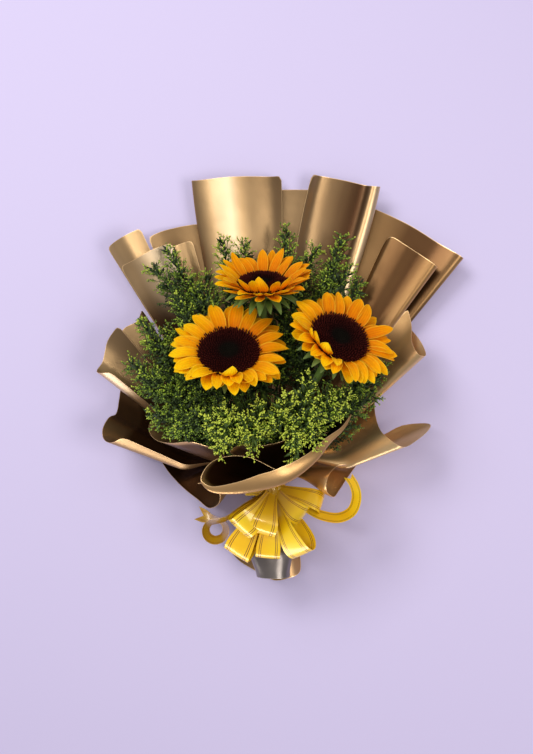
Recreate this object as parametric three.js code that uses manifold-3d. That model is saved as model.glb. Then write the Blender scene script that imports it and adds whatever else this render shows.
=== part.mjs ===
// A hand-tied bunch of three sunflowers with goldenrod, wrapped in bronze florist's paper,
// tied with a yellow ribbon and laid on its back. Millimetres and degrees. X runs to the
// right of the bunch, Y from the cut ends to the heads, Z up from the surface it lies on.
import * as THREE from 'three';
import { mergeVertices } from 'three/addons/utils/BufferGeometryUtils.js';
import Module from 'manifold-3d';

const wasm = await Module();
wasm.setup();

// Driving dimensions
const PAPER_THICK = 0.8;
const RIBBON_THICK = 0.8;
const SEAT_GAP = 0.35; // between things that touch
const TIE_HEIGHT = 50; // middle of the stems above the surface, where they are tied
const STEM_RADIUS = 4.5;
const SPRIG_RADIUS = 2;
const BUNCH_RADIUS = 13.2; // all the stems together at the tie
const BAND_THICK = 1.1;
const BAND_FROM = 17; // the stem band, along Y from the gather point
const BAND_TO = 27;
const NECK_START = 12; // the papers' lower ends, measured from the gather point
const NECK_END = 34; // up to here the papers lie flat on each other
const FAN_START = 110; // from here on they fan out straight
const FLAT_FROM = 118; // from here on the back paper lies on the surface
const BACK_SLOPE = 0.131; // how fast the back paper would drop if it ran straight
const STEM_END = -50;

const COLOURS = {
  gold: 0xb08a58,
  goldDeep: 0x9a744a,
  goldLight: 0xc2a274,
  silver: 0x6f675e,
  ribbon: 0xf0dc2c,
  petal: 0xf6a816,
  disc: 0x2a1412,
  stem: 0x5d7a2c,
  sprig: 0x6f8f2e,
  sprigBright: 0x93ae3a,
  band: 0x7a5a3a,
};

const bunch = new THREE.Group();

function add(name, geometry, colour, roughness = 0.6, metalness = 0) {
  const material = new THREE.MeshStandardMaterial({ color: colour, roughness, metalness });
  const mesh = new THREE.Mesh(geometry, material);
  mesh.name = name;
  bunch.add(mesh);
  return mesh;
}

// ---------------------------------------------------------------- closed skins and joins

const V = (x, y, z) => new THREE.Vector3(x, y, z);
const lerp = THREE.MathUtils.lerp;
const radians = THREE.MathUtils.degToRad;
const smooth = (value, from, to) => THREE.MathUtils.smoothstep(value, from, to);

function signedVolume(points, index) {
  let sum = 0;
  for (let i = 0; i < index.length; i += 3) {
    const [a, b, c] = [points[index[i]], points[index[i + 1]], points[index[i + 2]]];
    sum += a.dot(b.clone().cross(c));
  }
  return sum;
}

// Closed skin through rings of points. A ring runs along one face and back along the other,
// and both faces are split into triangles alike.
function skinData(rings) {
  const count = rings[0].length;
  const points = rings.flat();
  const index = [];
  const at = (row, i) => row * count + (i % count);
  for (let row = 0; row < rings.length - 1; row++) {
    for (let i = 0; i < count; i++) {
      const [a, b] = [at(row, i), at(row, i + 1)];
      const [d, c] = [at(row + 1, i), at(row + 1, i + 1)];
      if (i < count / 2) {
        index.push(a, b, c, a, c, d);
      } else {
        index.push(a, b, d, b, c, d);
      }
    }
  }
  const last = rings.length - 1;
  for (let i = 0; i < count / 2 - 1; i++) {
    const [j, k] = [count - 1 - i, count - 2 - i];
    index.push(at(0, i), at(0, k), at(0, i + 1), at(0, i), at(0, j), at(0, k));
    index.push(at(last, i), at(last, i + 1), at(last, k), at(last, i), at(last, k), at(last, j));
  }
  return { points, index };
}

function closed({ points, index }) {
  if (signedVolume(points, index) < 0) {
    index.reverse();
  }
  const geometry = new THREE.BufferGeometry().setFromPoints(points);
  geometry.setIndex(index);
  return geometry;
}

const skin = (rings) => closed(skinData(rings));

// A bud grown out of one triangle of a skin: a three-sided spindle through a middle to a tip
function growBud({ points, index }, triangle, middle, tip, radius) {
  const corners = index.slice(triangle * 3, triangle * 3 + 3);
  const [a, b, c] = corners.map((k) => points[k]);
  const aim = tip.clone().sub(middle).normalize();
  const centre = a.clone().add(b).add(c).divideScalar(3);
  const spoke = a.clone().sub(centre);
  spoke.addScaledVector(aim, -spoke.dot(aim)).normalize();
  const outward = b.clone().sub(a).cross(c.clone().sub(a)).dot(aim) > 0 ? 1 : -1;
  const first = points.length;
  [0, 1, 2].forEach((k) => {
    const arm = spoke.clone().applyAxisAngle(aim, (outward * 2 * Math.PI * k) / 3);
    points.push(middle.clone().addScaledVector(arm, radius));
  });
  points.push(tip);
  const faces = [];
  [0, 1, 2].forEach((k) => {
    const next = (k + 1) % 3;
    faces.push(corners[k], corners[next], first + next, corners[k], first + next, first + k);
    faces.push(first + k, first + next, first + 3);
  });
  index.splice(triangle * 3, 3, ...faces.slice(0, 3));
  index.push(...faces.slice(3));
}

function bare(geometry) {
  const copy = geometry.clone();
  copy.deleteAttribute('normal');
  copy.deleteAttribute('uv');
  return mergeVertices(copy, 1e-4);
}

function toSolid(geometry) {
  const merged = bare(geometry);
  return new wasm.Manifold(new wasm.Mesh({
    numProp: 3,
    vertProperties: Float32Array.from(merged.attributes.position.array),
    triVerts: Uint32Array.from(merged.index.array),
  }));
}

function fuse(geometries) {
  const joined = geometries.map(toSolid).reduce((whole, piece) => whole.add(piece));
  const mesh = joined.getMesh();
  const geometry = new THREE.BufferGeometry();
  geometry.setAttribute('position', new THREE.BufferAttribute(mesh.vertProperties, 3));
  geometry.setIndex(new THREE.BufferAttribute(mesh.triVerts, 1));
  return geometry;
}

// A round-sided rod through points, with a radius at each
function rodRings(path, radii, sides, turn = 0) {
  return path.map((point, k) => {
    const before = path[Math.max(k - 1, 0)];
    const after = path[Math.min(k + 1, path.length - 1)];
    const along = after.clone().sub(before).normalize();
    const across = V(0, 0, 1).cross(along).normalize();
    const up = along.clone().cross(across);
    return Array.from({ length: sides }, (_, i) => {
      const angle = turn + (2 * Math.PI * i) / sides;
      return point.clone()
        .addScaledVector(across, radii[k] * Math.cos(angle))
        .addScaledVector(up, radii[k] * Math.sin(angle));
    });
  });
}

const rod = (path, radii, sides, turn) => skin(rodRings(path, radii, sides, turn));

// A blade from a spine, its width at each spine point, the direction of its width and a thickness
function blade(spine, widths, sideways, thick) {
  const rings = spine.map((point, k) => {
    const before = spine[Math.max(k - 1, 0)];
    const after = spine[Math.min(k + 1, spine.length - 1)];
    const along = after.clone().sub(before).normalize();
    const side = Array.isArray(sideways) ? sideways[k] : sideways;
    const face = along.clone().cross(side).normalize();
    const left = point.clone().addScaledVector(side, -widths[k] / 2);
    const right = point.clone().addScaledVector(side, widths[k] / 2);
    return [
      left.clone().addScaledVector(face, thick / 2),
      right.clone().addScaledVector(face, thick / 2),
      right.clone().addScaledVector(face, -thick / 2),
      left.clone().addScaledVector(face, -thick / 2),
    ];
  });
  return skin(rings);
}

// A thin sheet of even thickness about a grid of middle points
function sheetSolid(grid, thick, upright = false) {
  const rows = grid.length;
  const columns = grid[0].length;
  const at = (r, c) => grid[Math.min(Math.max(r, 0), rows - 1)][Math.min(Math.max(c, 0), columns - 1)];
  const rings = grid.map((line, r) => {
    const offsets = line.map((point, c) => {
      const along = at(r + 1, c).clone().sub(at(r - 1, c));
      const across = at(r, c + 1).clone().sub(at(r, c - 1));
      const normal = upright ? V(0, 0, 1) : across.cross(along).normalize();
      return normal.multiplyScalar(thick / 2);
    });
    const front = line.map((point, c) => point.clone().add(offsets[c]));
    const back = line.map((point, c) => point.clone().sub(offsets[c]));
    return [...front, ...back.reverse()];
  });
  return skin(rings);
}

function alongCurve(points, count) {
  return new THREE.CatmullRomCurve3(points, false, 'centripetal').getPoints(count);
}

// Spheres along everything that the buds of the goldenrod stay clear of
const keepOut = [];
const KEEP_STEP = 6;

function keep(owner, points, radius) {
  points.forEach((point) => keepOut.push({ owner, point, radius }));
}

function keepSheet(rows) {
  for (let r = 0; r < rows.length - 1; r++) {
    for (let c = 0; c < rows[r].length - 1; c++) {
      const [a, b] = [rows[r][c], rows[r][c + 1]];
      const [d, e] = [rows[r + 1][c], rows[r + 1][c + 1]];
      const down = Math.ceil(a.distanceTo(d) / KEEP_STEP);
      const over = Math.ceil(Math.max(a.distanceTo(b), d.distanceTo(e)) / KEEP_STEP);
      for (let i = 0; i <= down; i++) {
        for (let j = 0; j <= over; j++) {
          const near = a.clone().lerp(b, j / over);
          keep('paper', [near.lerp(d.clone().lerp(e, j / over), i / down)], KEEP_STEP * 0.6);
        }
      }
    }
  }
}

// ---------------------------------------------------------------- the wrapping papers
// Each paper is a fan of straight lines from the gather point to its free edge. An edge is a
// short list of [bearing, reach, height]: degrees right of the bunch's middle line, distance
// from the gather point and height above the surface. Where the bearing turns back, the
// paper's side rolls over. A neck is the sector that the paper takes at the tie, on its layer.
// A belly is how far, in degrees, the paper's two sides bow out half way up the fan.

const LAYER_STEP = PAPER_THICK + SEAT_GAP;
const UNDER_STEMS = TIE_HEIGHT - BUNCH_RADIUS - BAND_THICK - SEAT_GAP * 2 - PAPER_THICK / 2;
const OVER_STEMS = TIE_HEIGHT + BUNCH_RADIUS + BAND_THICK + SEAT_GAP * 2 + PAPER_THICK / 2;
const TOP_LAYER = 2;
const layerHeight = (layer) => UNDER_STEMS - (TOP_LAYER - layer) * LAYER_STEP;

// How far the back papers sag below their straight run from the tie, at a distance from it
function sag(reach) {
  const straight = TIE_HEIGHT - BACK_SLOPE * reach;
  const lying = lerp(layerHeight(0), PAPER_THICK / 2, smooth(reach, NECK_END, FLAT_FROM));
  return straight - lying;
}

const BACK_PAPERS = {
  paper_back_centre: {
    layer: 0, neck: [-2, 6], across: 4, lies: true,
    edge: [[-5, 378, 0.4], [-0.6, 378, 0.4], [5.5, 381, 0.4], [11.8, 386, 0.4], [14.6, 388, 0.4]],
  },
  paper_back_left: {
    layer: 1, neck: [-5, 1], across: 11, rolled: true, belly: [-2.8, 1.3],
    edge: [[-10.6, 394, 12], [-12.2, 397, 14], [-12.9, 397, 19], [-11.9, 395, 24.5], [-9.6, 393, 29],
      [-6.6, 392, 31], [-3.2, 391, 29.5], [0.2, 391, 24], [2.8, 394, 14]],
  },
  paper_back_right: {
    layer: 2, neck: [3.2, 7.8], across: 11, rolled: true, belly: [-1.6, 2.8],
    edge: [[8.1, 399, 20], [10.8, 396, 31], [14, 397, 29.5], [16.9, 398, 28], [18.9, 399, 36],
      [20, 402, 31], [18.9, 400, 23]],
  },
  paper_right_back: {
    layer: 1, neck: [5.5, 15.5], across: 11, rolled: true,
    edge: [[13.6, 377, 5], [18.1, 379, 7], [23, 378, 10], [28, 377, 14], [33.4, 375, 20],
      [37.9, 376, 31], [39, 377, 26], [37, 376, 17]],
  },
  paper_right_inner: {
    layer: 2, neck: [9.8, 14.3], across: 10, rolled: true,
    edge: [[24.6, 344, 30], [25.6, 351, 38], [28.3, 349, 43], [31.8, 348, 42], [34.8, 347, 47],
      [36, 347, 40], [34, 349, 33]],
  },
  paper_left_back: {
    layer: 0, neck: [-9.5, -3], across: 6,
    edge: [[-23.9, 349, 14], [-21.3, 350, 12], [-18.1, 349, 9], [-14.6, 347, 7], [-10.2, 343, 4],
      [-6.8, 342, 3]],
  },
  paper_left_outer: {
    layer: 1, neck: [-13, -9.8], across: 4,
    edge: [[-31.8, 359, 24], [-29.8, 360, 31], [-27.5, 360, 35], [-24.4, 360, 34]],
  },
  paper_left_slip: {
    layer: 1, neck: [-9.4, -6.2], across: 4,
    edge: [[-23.4, 323, 27], [-19.1, 325, 33], [-15.5, 326, 29]],
  },
  paper_left_inner: {
    layer: 2, neck: [-12.5, -7.8], across: 5,
    edge: [[-31.3, 329, 44], [-27.9, 327, 52], [-23.9, 328, 54], [-19.6, 328, 46]],
  },
  paper_left_side: {
    layer: 0, neck: [-13.5, -19.2], across: 6,
    edge: [[-32.4, 275, 30], [-33.4, 270, 34], [-35.5, 265, 38], [-38.6, 267, 40], [-43.1, 258, 40],
      [-46.9, 250, 38]],
  },
  paper_left_flare: {
    layer: 1, neck: [-15.6, -20.2], across: 8, rolled: true,
    edge: [[-39.1, 271, 66], [-43.4, 267, 60], [-46.2, 260, 57], [-48.6, 254, 58], [-51, 252, 64],
      [-51, 246, 73], [-48.6, 236, 79]],
  },
  paper_left_cuff: {
    layer: 0, neck: [-20, -27], across: 10, rolled: true,
    edge: [[-50.7, 223, 24], [-54.8, 214, 28], [-58.9, 207, 38], [-61, 211, 50], [-64.3, 210, 60],
      [-67, 203, 70], [-67, 192, 80], [-63.4, 181, 87]],
  },
  paper_right_flare: {
    layer: 2, neck: [14.6, 18.6], across: 11, rolled: true,
    edge: [[35.7, 285, 60], [38.8, 271, 67], [41.8, 255, 75], [44.8, 250, 81], [46.6, 255, 75],
      [44.4, 263, 62], [40.7, 268, 51], [37.2, 270, 44]],
  },
  paper_right_cuff: {
    layer: 1, neck: [17, 26.5], across: 13, rolled: true,
    edge: [[42.7, 223, 22], [44.2, 205, 26], [46.7, 180, 36], [51.6, 166, 54], [58.1, 161, 74],
      [65.3, 171, 84], [66, 192, 73], [64, 216, 54], [61.9, 202, 40], [60.2, 185, 32]],
  },
  paper_left_cornet: {
    layer: 0, neck: [-28, -37], across: 13, rolled: true,
    edge: [[-62, 150, 14], [-68, 135, 20], [-76, 108, 36], [-84, 80, 60], [-90, 63, 82],
      [-82, 53, 97], [-69, 55, 106], [-64, 72, 111], [-68, 84, 116]],
  },
  paper_right_cornet: {
    layer: 0, neck: [27.5, 37], across: 13, rolled: true,
    edge: [[64, 134, 18], [68, 116, 32], [72.5, 100, 52], [77, 88, 74], [80, 79, 90],
      [72, 73, 101], [62, 80, 107], [58, 95, 111], [61, 109, 114]],
  },
};

function backPaper({ layer, neck, across, edge, lies, rolled, belly }) {
  const free = alongCurve(edge.map(([bearing, reach, height]) => V(bearing, reach, height)), across);
  const stations = [NECK_START, NECK_END, 54, 80, FLAT_FROM, ...(belly ? [210, 305] : [])];
  const rows = Array.from({ length: stations.length + 1 }, (_, row) => free.map((end, column) => {
    const share = row / stations.length;
    const reach = row === stations.length ? end.y
      : Math.min(stations[row], lerp(NECK_START, end.y, share));
    const spread = smooth(reach, NECK_END, Math.min(FAN_START, end.y));
    const up = (reach - NECK_END) / (end.y - NECK_END);
    const bow = belly ? lerp(belly[0], belly[1], column / across) * 4 * up * (1 - up) : 0;
    const bearing = radians(lerp(lerp(neck[0], neck[1], column / across), end.x + bow, spread));
    const straight = TIE_HEIGHT + (end.z + sag(end.y) - TIE_HEIGHT) * (reach / end.y) - sag(reach);
    const height = lies && reach >= FLAT_FROM ? PAPER_THICK / 2
      : lerp(layerHeight(layer), straight, spread);
    return V(reach * Math.sin(bearing), reach * Math.cos(bearing), height);
  }));
  keepSheet(rows);
  return sheetSolid(rows, PAPER_THICK, !rolled);
}

const goldShades = [COLOURS.gold, COLOURS.goldLight, COLOURS.goldDeep];
Object.entries(BACK_PAPERS).forEach(([name, paper], k) => {
  add(name, backPaper(paper), goldShades[k % goldShades.length], 0.35, 0.55);
});

// The front papers leave the tie round the stems, on an arc from one angle to another (0 is
// right, 90 above), and rise in front of the flowers. Their free edges are points [x, y, z], and
// turned is how wide a band folds inward at each of them.
const FRONT_PAPERS = {
  paper_inner_left: {
    level: 0, neck: [118, 205], across: 11, lean: 0,
    edge: [[-60, 72, 120], [-84, 78, 114], [-108, 76, 104], [-126, 80, 91], [-134, 92, 79],
      [-128, 104, 69], [-116, 105, 65]],
  },
  paper_inner_right: {
    level: 0, neck: [112, 55], across: 9, lean: 8,
    edge: [[-41, 67, 112], [-28, 75, 118], [-8, 74, 122], [15, 78, 124], [37, 86, 122],
      [55, 84, 118], [74, 90, 108]],
  },
  paper_front: {
    level: 1, neck: [30, 114], across: 19, lean: 12,
    edge: [[100, 112, 104], [88, 92, 118], [72, 77, 129], [56, 58, 141], [27, 37, 152],
      [-3, 28, 156], [-36, 24, 158], [-60, 27, 156], [-70, 38, 150], [-65, 51, 143],
      [-54, 60, 137], [-34, 64, 133], [-14, 61, 131], [3, 53, 132], [19, 45, 133]],
    turned: [1, 4, 8, 13, 19, 18, 12, 6, 1.2, 1, 1, 1, 1, 1, 1],
  },
};
const TURN_RISE = 0.45; // of a turned band, over its width

function frontPaper({ level, neck, across, lean, edge, turned }) {
  const free = alongCurve(edge.map(([x, y, z]) => V(x, y, z)), across);
  const out = OVER_STEMS - TIE_HEIGHT + level * LAYER_STEP;
  const columns = free.map((end, column) => {
    const angle = radians(lerp(neck[0], neck[1], column / across));
    const low = V(out * Math.cos(angle), NECK_START, TIE_HEIGHT + out * Math.sin(angle));
    const high = low.clone().setY(NECK_END);
    const middle = high.clone().lerp(end, 0.5).add(V(0, lean, -lean / 2));
    const wall = new THREE.QuadraticBezierCurve3(high, middle, end).getPoints(3).slice(1);
    if (!turned) {
      return [low, high, ...wall];
    }
    const where = ((turned.length - 1) * column) / across;
    const first = Math.min(Math.floor(where), turned.length - 2);
    const wide = lerp(turned[first], turned[first + 1], where - first);
    const before = free[Math.max(column - 1, 0)];
    const after = free[Math.min(column + 1, across)];
    const inward = after.clone().sub(before).cross(V(0, 0, 1)).normalize();
    const band = [45, 90].map((turn) => end.clone()
      .addScaledVector(inward, wide * (1 - Math.cos(radians(turn))))
      .add(V(0, 0, wide * TURN_RISE * Math.sin(radians(turn)))));
    return [low, high, ...wall, ...band];
  });
  const rows = columns[0].map((_, row) => columns.map((column) => column[row]));
  keepSheet(rows);
  return sheetSolid(rows, PAPER_THICK);
}

Object.entries(FRONT_PAPERS).forEach(([name, paper], k) => {
  add(name, frontPaper(paper), goldShades[(k + 1) % goldShades.length], 0.35, 0.55);
});

// ---------------------------------------------------------------- the handle below the tie

const HANDLE_EDGE = [[41, -48, 42], [42, -83, 20], [30, -94, 4.6], [12, -97, 1], [-7, -88, 1],
  [-30, -74, 5.6], [-47, -53, 22]];
const HANDLE_NECK = [11, -10];

function handlePaper() {
  const across = 12;
  const free = alongCurve(HANDLE_EDGE.map(([x, y, z]) => V(x, y, z)), across);
  const rows = [0, 1, 2, 3, 4, 5].map((row) => free.map((end, column) => {
    const x = lerp(HANDLE_NECK[0], HANDLE_NECK[1], column / across);
    const high = V(x, NECK_END - 4, layerHeight(-1));
    const low = V(x * 1.2, NECK_START - 4, layerHeight(-1));
    if (row === 0) {
      return high;
    }
    return low.lerp(end, ((row - 1) / 4) ** 1.2);
  }));
  return sheetSolid(rows, PAPER_THICK);
}

add('handle_paper', handlePaper(), COLOURS.gold, 0.35, 0.55);

// Silver paper rolled once round the stems, its side edge lapping over itself
const SLEEVE = { from: 9, to: -84, turn: 392, start: -110, sides: 16, lap: 1.3, wide: 24, shift: 10 };

function sleeve() {
  const round = BUNCH_RADIUS + 1.2;
  const rows = [0, 0.36, 0.72, 1].map((share) => {
    const y = lerp(SLEEVE.from, SLEEVE.to, share);
    const wide = lerp(round, SLEEVE.wide, smooth(share, 0, 0.7)) * (1 - 0.22 * smooth(share, 0.7, 1));
    const high = lerp(round, 14.6, share);
    return Array.from({ length: SLEEVE.sides + 1 }, (_, i) => {
      const part = i / SLEEVE.sides;
      const angle = radians(SLEEVE.start + SLEEVE.turn * part);
      const out = SLEEVE.lap * part;
      return V((wide + out) * Math.cos(angle) + SLEEVE.shift * share, y,
        TIE_HEIGHT + (high + out) * Math.sin(angle));
    });
  });
  return sheetSolid(rows, PAPER_THICK);
}

add('handle_sleeve', sleeve(), COLOURS.silver, 0.4, 0.5);

// ---------------------------------------------------------------- bands

function ringAlongY(outline, hole, from, to) {
  const shape = new THREE.Shape(outline);
  shape.holes.push(new THREE.Path(hole));
  const geometry = new THREE.ExtrudeGeometry(shape, { depth: to - from, bevelEnabled: false });
  geometry.rotateX(Math.PI / 2);
  geometry.translate(0, to, 0);
  return bare(geometry);
}

function circle(radius, height, sides) {
  return Array.from({ length: sides }, (_, i) => {
    const angle = (2 * Math.PI * i) / sides;
    return new THREE.Vector2(radius * Math.cos(angle), height + radius * Math.sin(angle));
  });
}

const bandInside = BUNCH_RADIUS + SEAT_GAP;
add('stem_band', ringAlongY(circle(bandInside + BAND_THICK, TIE_HEIGHT, 24),
  circle(bandInside, TIE_HEIGHT, 24), BAND_FROM, BAND_TO), COLOURS.band, 0.8);

// The ribbon round the neck of the papers: flat runs below and above, round at the sides
const RIBBON_HALF = 23;
const RIBBON_CORNER = 5;
const ribbonBottom = layerHeight(-1) - PAPER_THICK / 2 - SEAT_GAP;
const ribbonTop = OVER_STEMS + LAYER_STEP + PAPER_THICK / 2 + SEAT_GAP;

function roundedLoop(grow) {
  const half = RIBBON_HALF + grow;
  const corner = RIBBON_CORNER + grow;
  const corners = [[1, 1, 0], [-1, 1, 90], [-1, -1, 180], [1, -1, 270]];
  return corners.flatMap(([sx, sz, start]) => [0, 45, 90].map((step) => {
    const angle = radians(start + step);
    const middle = sz > 0 ? ribbonTop + grow - corner : ribbonBottom - grow + corner;
    return new THREE.Vector2(sx * (half - corner) + corner * Math.cos(angle),
      middle + corner * Math.sin(angle));
  }));
}

add('ribbon_band', ringAlongY(roundedLoop(RIBBON_THICK), roundedLoop(0), NECK_END - 21, NECK_END - 7),
  COLOURS.ribbon, 0.3);

// ---------------------------------------------------------------- the bow

const KNOT_RADIUS = 9;
const KNOT = V(10, 22, ribbonTop + RIBBON_THICK + SEAT_GAP + KNOT_RADIUS);
// Each loop: direction in plan, slope, length, height of its opening, twist about its length
// and ribbon width
const LOOPS = [
  { plan: 241, slope: -6, length: 90, open: 20, twist: 14, wide: 33 },
  { plan: 265, slope: 0, length: 80, open: 20, twist: 2, wide: 28 },
  { plan: 228, slope: 15, length: 62, open: 30, twist: -10, wide: 31 },
  { plan: 254, slope: 18, length: 54, open: 30, twist: -2, wide: 31 },
  { plan: 295, slope: 7, length: 82, open: 26, twist: 34, wide: 31 },
  { plan: 320, slope: 16, length: 47, open: 24, twist: 16, wide: 26 },
  { plan: 343, slope: 6, length: 58, open: 20, twist: -24, wide: 24 },
];
const LOOP_NECK = 13; // the ribbon's width where a loop leaves the knot

function ribbonLoop({ plan, slope, length, open, twist, wide }) {
  const out = V(1, 0, 0).applyEuler(new THREE.Euler(0, -radians(slope), radians(plan), 'ZYX'));
  const side = V(0, 0, 1).cross(out).normalize().applyAxisAngle(out, radians(twist));
  const lift = out.clone().cross(side);
  const steps = 6;
  const spine = Array.from({ length: steps + 1 }, (_, i) => {
    const turn = lerp(0.04, 0.96, i / steps) * Math.PI;
    return KNOT.clone()
      .addScaledVector(out, length * Math.sin(turn))
      .addScaledVector(lift, (open / 2) * Math.sin(2 * turn));
  });
  const widths = spine.map((_, i) => lerp(LOOP_NECK, wide, smooth(Math.min(i, steps - i), 0, 2)));
  return blade(spine, widths, side, RIBBON_THICK);
}

// The right tail bends up beside the wrap; the left one curls once round before its end
const RIGHT_TAIL = [V(14, 20, 80), V(44, 2, 86), V(66, -8, 86), V(85, -10, 88), V(99, -2, 92),
  V(104, 14, 95), V(101, 28, 98), V(94, 39, 100)];
const CURL = { x: -57, y: -27, radius: 11.5, from: 0.45, to: 2.45, top: 78, drop: 7 };
const curl = [0, 1, 2, 3, 4, 5, 6, 7, 8].map((step) => {
  const turn = lerp(CURL.from, CURL.to, step / 8) * Math.PI;
  return V(CURL.x + CURL.radius * Math.cos(turn), CURL.y + CURL.radius * Math.sin(turn),
    CURL.top - CURL.drop * (turn / Math.PI - 0.25));
});
const LEFT_TAIL = [V(6, 20, 78), V(-22, 4, 76), V(-44, -12, 78), ...curl, V(-67, -13, 62),
  V(-80, -8, 60)];

// A tail's ribbon leans from flat by one tilt along its length and another at its end
function ribbonTail(points, steps, tilt, tiltAtEnd) {
  const spine = alongCurve(points, steps);
  const sides = spine.map((_, i) => {
    const along = spine[Math.min(i + 1, steps)].clone().sub(spine[Math.max(i - 1, 0)]);
    const lean = radians(lerp(tilt, tiltAtEnd, smooth(i / steps, 0.86, 0.97)));
    return along.cross(V(0, 0, 1)).normalize().multiplyScalar(Math.cos(lean)).setZ(Math.sin(lean));
  });
  const widths = spine.map((_, i) => lerp(8, 17, smooth(i / steps, 0, 0.25)));
  return blade(spine, widths, sides, RIBBON_THICK);
}

const knot = new THREE.SphereGeometry(KNOT_RADIUS, 8, 5);
knot.rotateX(Math.PI / 2);
knot.translate(KNOT.x, KNOT.y, KNOT.z);
add('ribbon_bow', fuse([knot, ...LOOPS.map(ribbonLoop), ribbonTail(LEFT_TAIL, 22, 62, 15),
  ribbonTail(RIGHT_TAIL, 9, 55, 55)]), COLOURS.ribbon, 0.3);

// ---------------------------------------------------------------- sunflowers

const FLOWERS = {
  left: {
    head: V(-40, 178, 130), tilt: 40, toward: 90, radius: 66, disc: 33.5, slot: V(-4.3, 0, 52.4),
    petals: 14, front: 262, curl: 26, under: 0.8, lift: 17, droop: 18, seed: 1,
  },
  right: {
    head: V(82, 193, 134), tilt: 42, toward: 62, radius: 62, disc: 32.5, slot: V(4.3, 0, 52.4),
    petals: 14, front: 222, curl: 40, under: 0.7, lift: 17, droop: 16, seed: 2,
  },
  top: {
    head: V(-2, 254, 110), tilt: 61, toward: 90, radius: 57, disc: 27, slot: V(0, 0, 45),
    petals: 13, front: 268, curl: 24, under: -0.4, lift: 38, droop: 2, seed: 3,
  },
};

function random(seed) {
  let state = seed * 7919 + 13;
  return () => {
    state = (state * 16807) % 2147483647;
    return state / 2147483647;
  };
}

const BASE_TOP = -SEAT_GAP; // the receptacle's top, below the disc's flat underside
const BASE_THICK = 2.4;
const PETAL_THICK = 0.9;
const FAR_RAYS_LONGER = 0.13; // than the rays at the sides of a head
const NEAR_RAYS_SHORTER = 0.1;
const HEAD_KEEP = 12; // the goldenrod's buds stay this far from the middle of a head

function flowerFrame({ head, tilt, toward }) {
  const axis = V(Math.sin(radians(tilt)) * Math.cos(radians(toward)),
    Math.sin(radians(tilt)) * Math.sin(radians(toward)), Math.cos(radians(tilt)));
  const x = V(1, 0, 0).addScaledVector(axis, -axis.x).normalize();
  const y = axis.clone().cross(x);
  return new THREE.Matrix4().makeBasis(x, y, axis).setPosition(head);
}

// Rays in two tiers, all growing out of the rim of one thin receptacle
function petalSet(flower, place) {
  const draw = random(flower.seed);
  const rays = flower.petals * 2;
  const reachIn = flower.disc * 0.86;
  const rim = (i, height) => V(reachIn * Math.cos((2 * Math.PI * i) / rays),
    reachIn * Math.sin((2 * Math.PI * i) / rays), height);
  const points = [V(0, 0, BASE_TOP), V(0, 0, BASE_TOP - BASE_THICK)];
  const index = [];
  const top = (i) => 2 + (i % rays);
  const under = (i) => 2 + rays + (i % rays);
  for (let i = 0; i < rays; i++) {
    points.push(rim(i, BASE_TOP));
    index.push(0, top(i), top(i + 1), 1, under(i + 1), under(i));
  }
  for (let i = 0; i < rays; i++) {
    points.push(rim(i, BASE_TOP - BASE_THICK));
  }
  for (let i = 0; i < rays; i++) {
    const upper = i % 2 === 0;
    const degrees = (360 * (i + 0.5)) / rays;
    const angle = radians(degrees);
    const ahead = Math.cos(radians(degrees - flower.front));
    const facing = Math.max(0, ahead) ** 2;
    const behind = Math.max(0, -ahead);
    const length = (flower.radius * (0.94 + 0.12 * draw()) - flower.disc)
      * (1 + FAR_RAYS_LONGER * behind - NEAR_RAYS_SHORTER * facing);
    const lift = radians(flower.lift - (upper ? 0 : 13)
      + flower.curl * (upper ? 1 : flower.under) * facing);
    const droop = radians(flower.droop) * (0.7 + 0.6 * draw()) * (1 - 0.8 * behind) * (1 - 0.5 * facing);
    const out = V(Math.cos(angle), Math.sin(angle), 0);
    const side = V(-Math.sin(angle), Math.cos(angle), 0);
    const wide = ((2 * Math.PI * flower.disc * 1.3) / flower.petals) * 0.9;
    const stations = [{ reach: flower.disc + 0.8, rise: BASE_TOP - (upper ? 1.3 : 3.2), slope: 0,
      width: wide * 0.5 }];
    [[0.5, wide], [0.5, 2.2]].forEach(([part, width], k) => {
      const { reach, rise } = stations[k];
      const slope = lift - droop * k * 1.6;
      stations.push({ reach: reach + length * part * Math.cos(slope),
        rise: rise + length * part * Math.sin(slope), slope, width });
    });
    let ring = [top(i), top(i + 1), under(i + 1), under(i)];
    stations.forEach(({ reach, rise, slope, width }) => {
      const middle = out.clone().multiplyScalar(reach).setZ(rise);
      const face = out.clone().multiplyScalar(-Math.sin(slope)).setZ(Math.cos(slope));
      const next = [[-1, 1], [1, 1], [1, -1], [-1, -1]].map(([across, up]) => {
        points.push(middle.clone().addScaledVector(side, (across * width) / 2)
          .addScaledVector(face, (up * PETAL_THICK) / 2));
        return points.length - 1;
      });
      [0, 1, 2, 3].forEach((k) => {
        const [p, q, r, t] = [ring[k], ring[(k + 1) % 4], next[(k + 1) % 4], next[k]];
        index.push(...(k < 2 ? [p, r, q, p, t, r] : [p, t, q, q, t, r]));
      });
      ring = next;
    });
    index.push(ring[0], ring[3], ring[1], ring[1], ring[3], ring[2]);
    const spine = stations.map(({ reach, rise }) => out.clone().multiplyScalar(reach).setZ(rise));
    keep('', alongCurve(spine, 4).map((point) => point.applyMatrix4(place)), wide * 0.4);
  }
  points.forEach((point) => point.applyMatrix4(place));
  return closed({ points, index });
}

const DISC_SIDES = 24;

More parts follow.
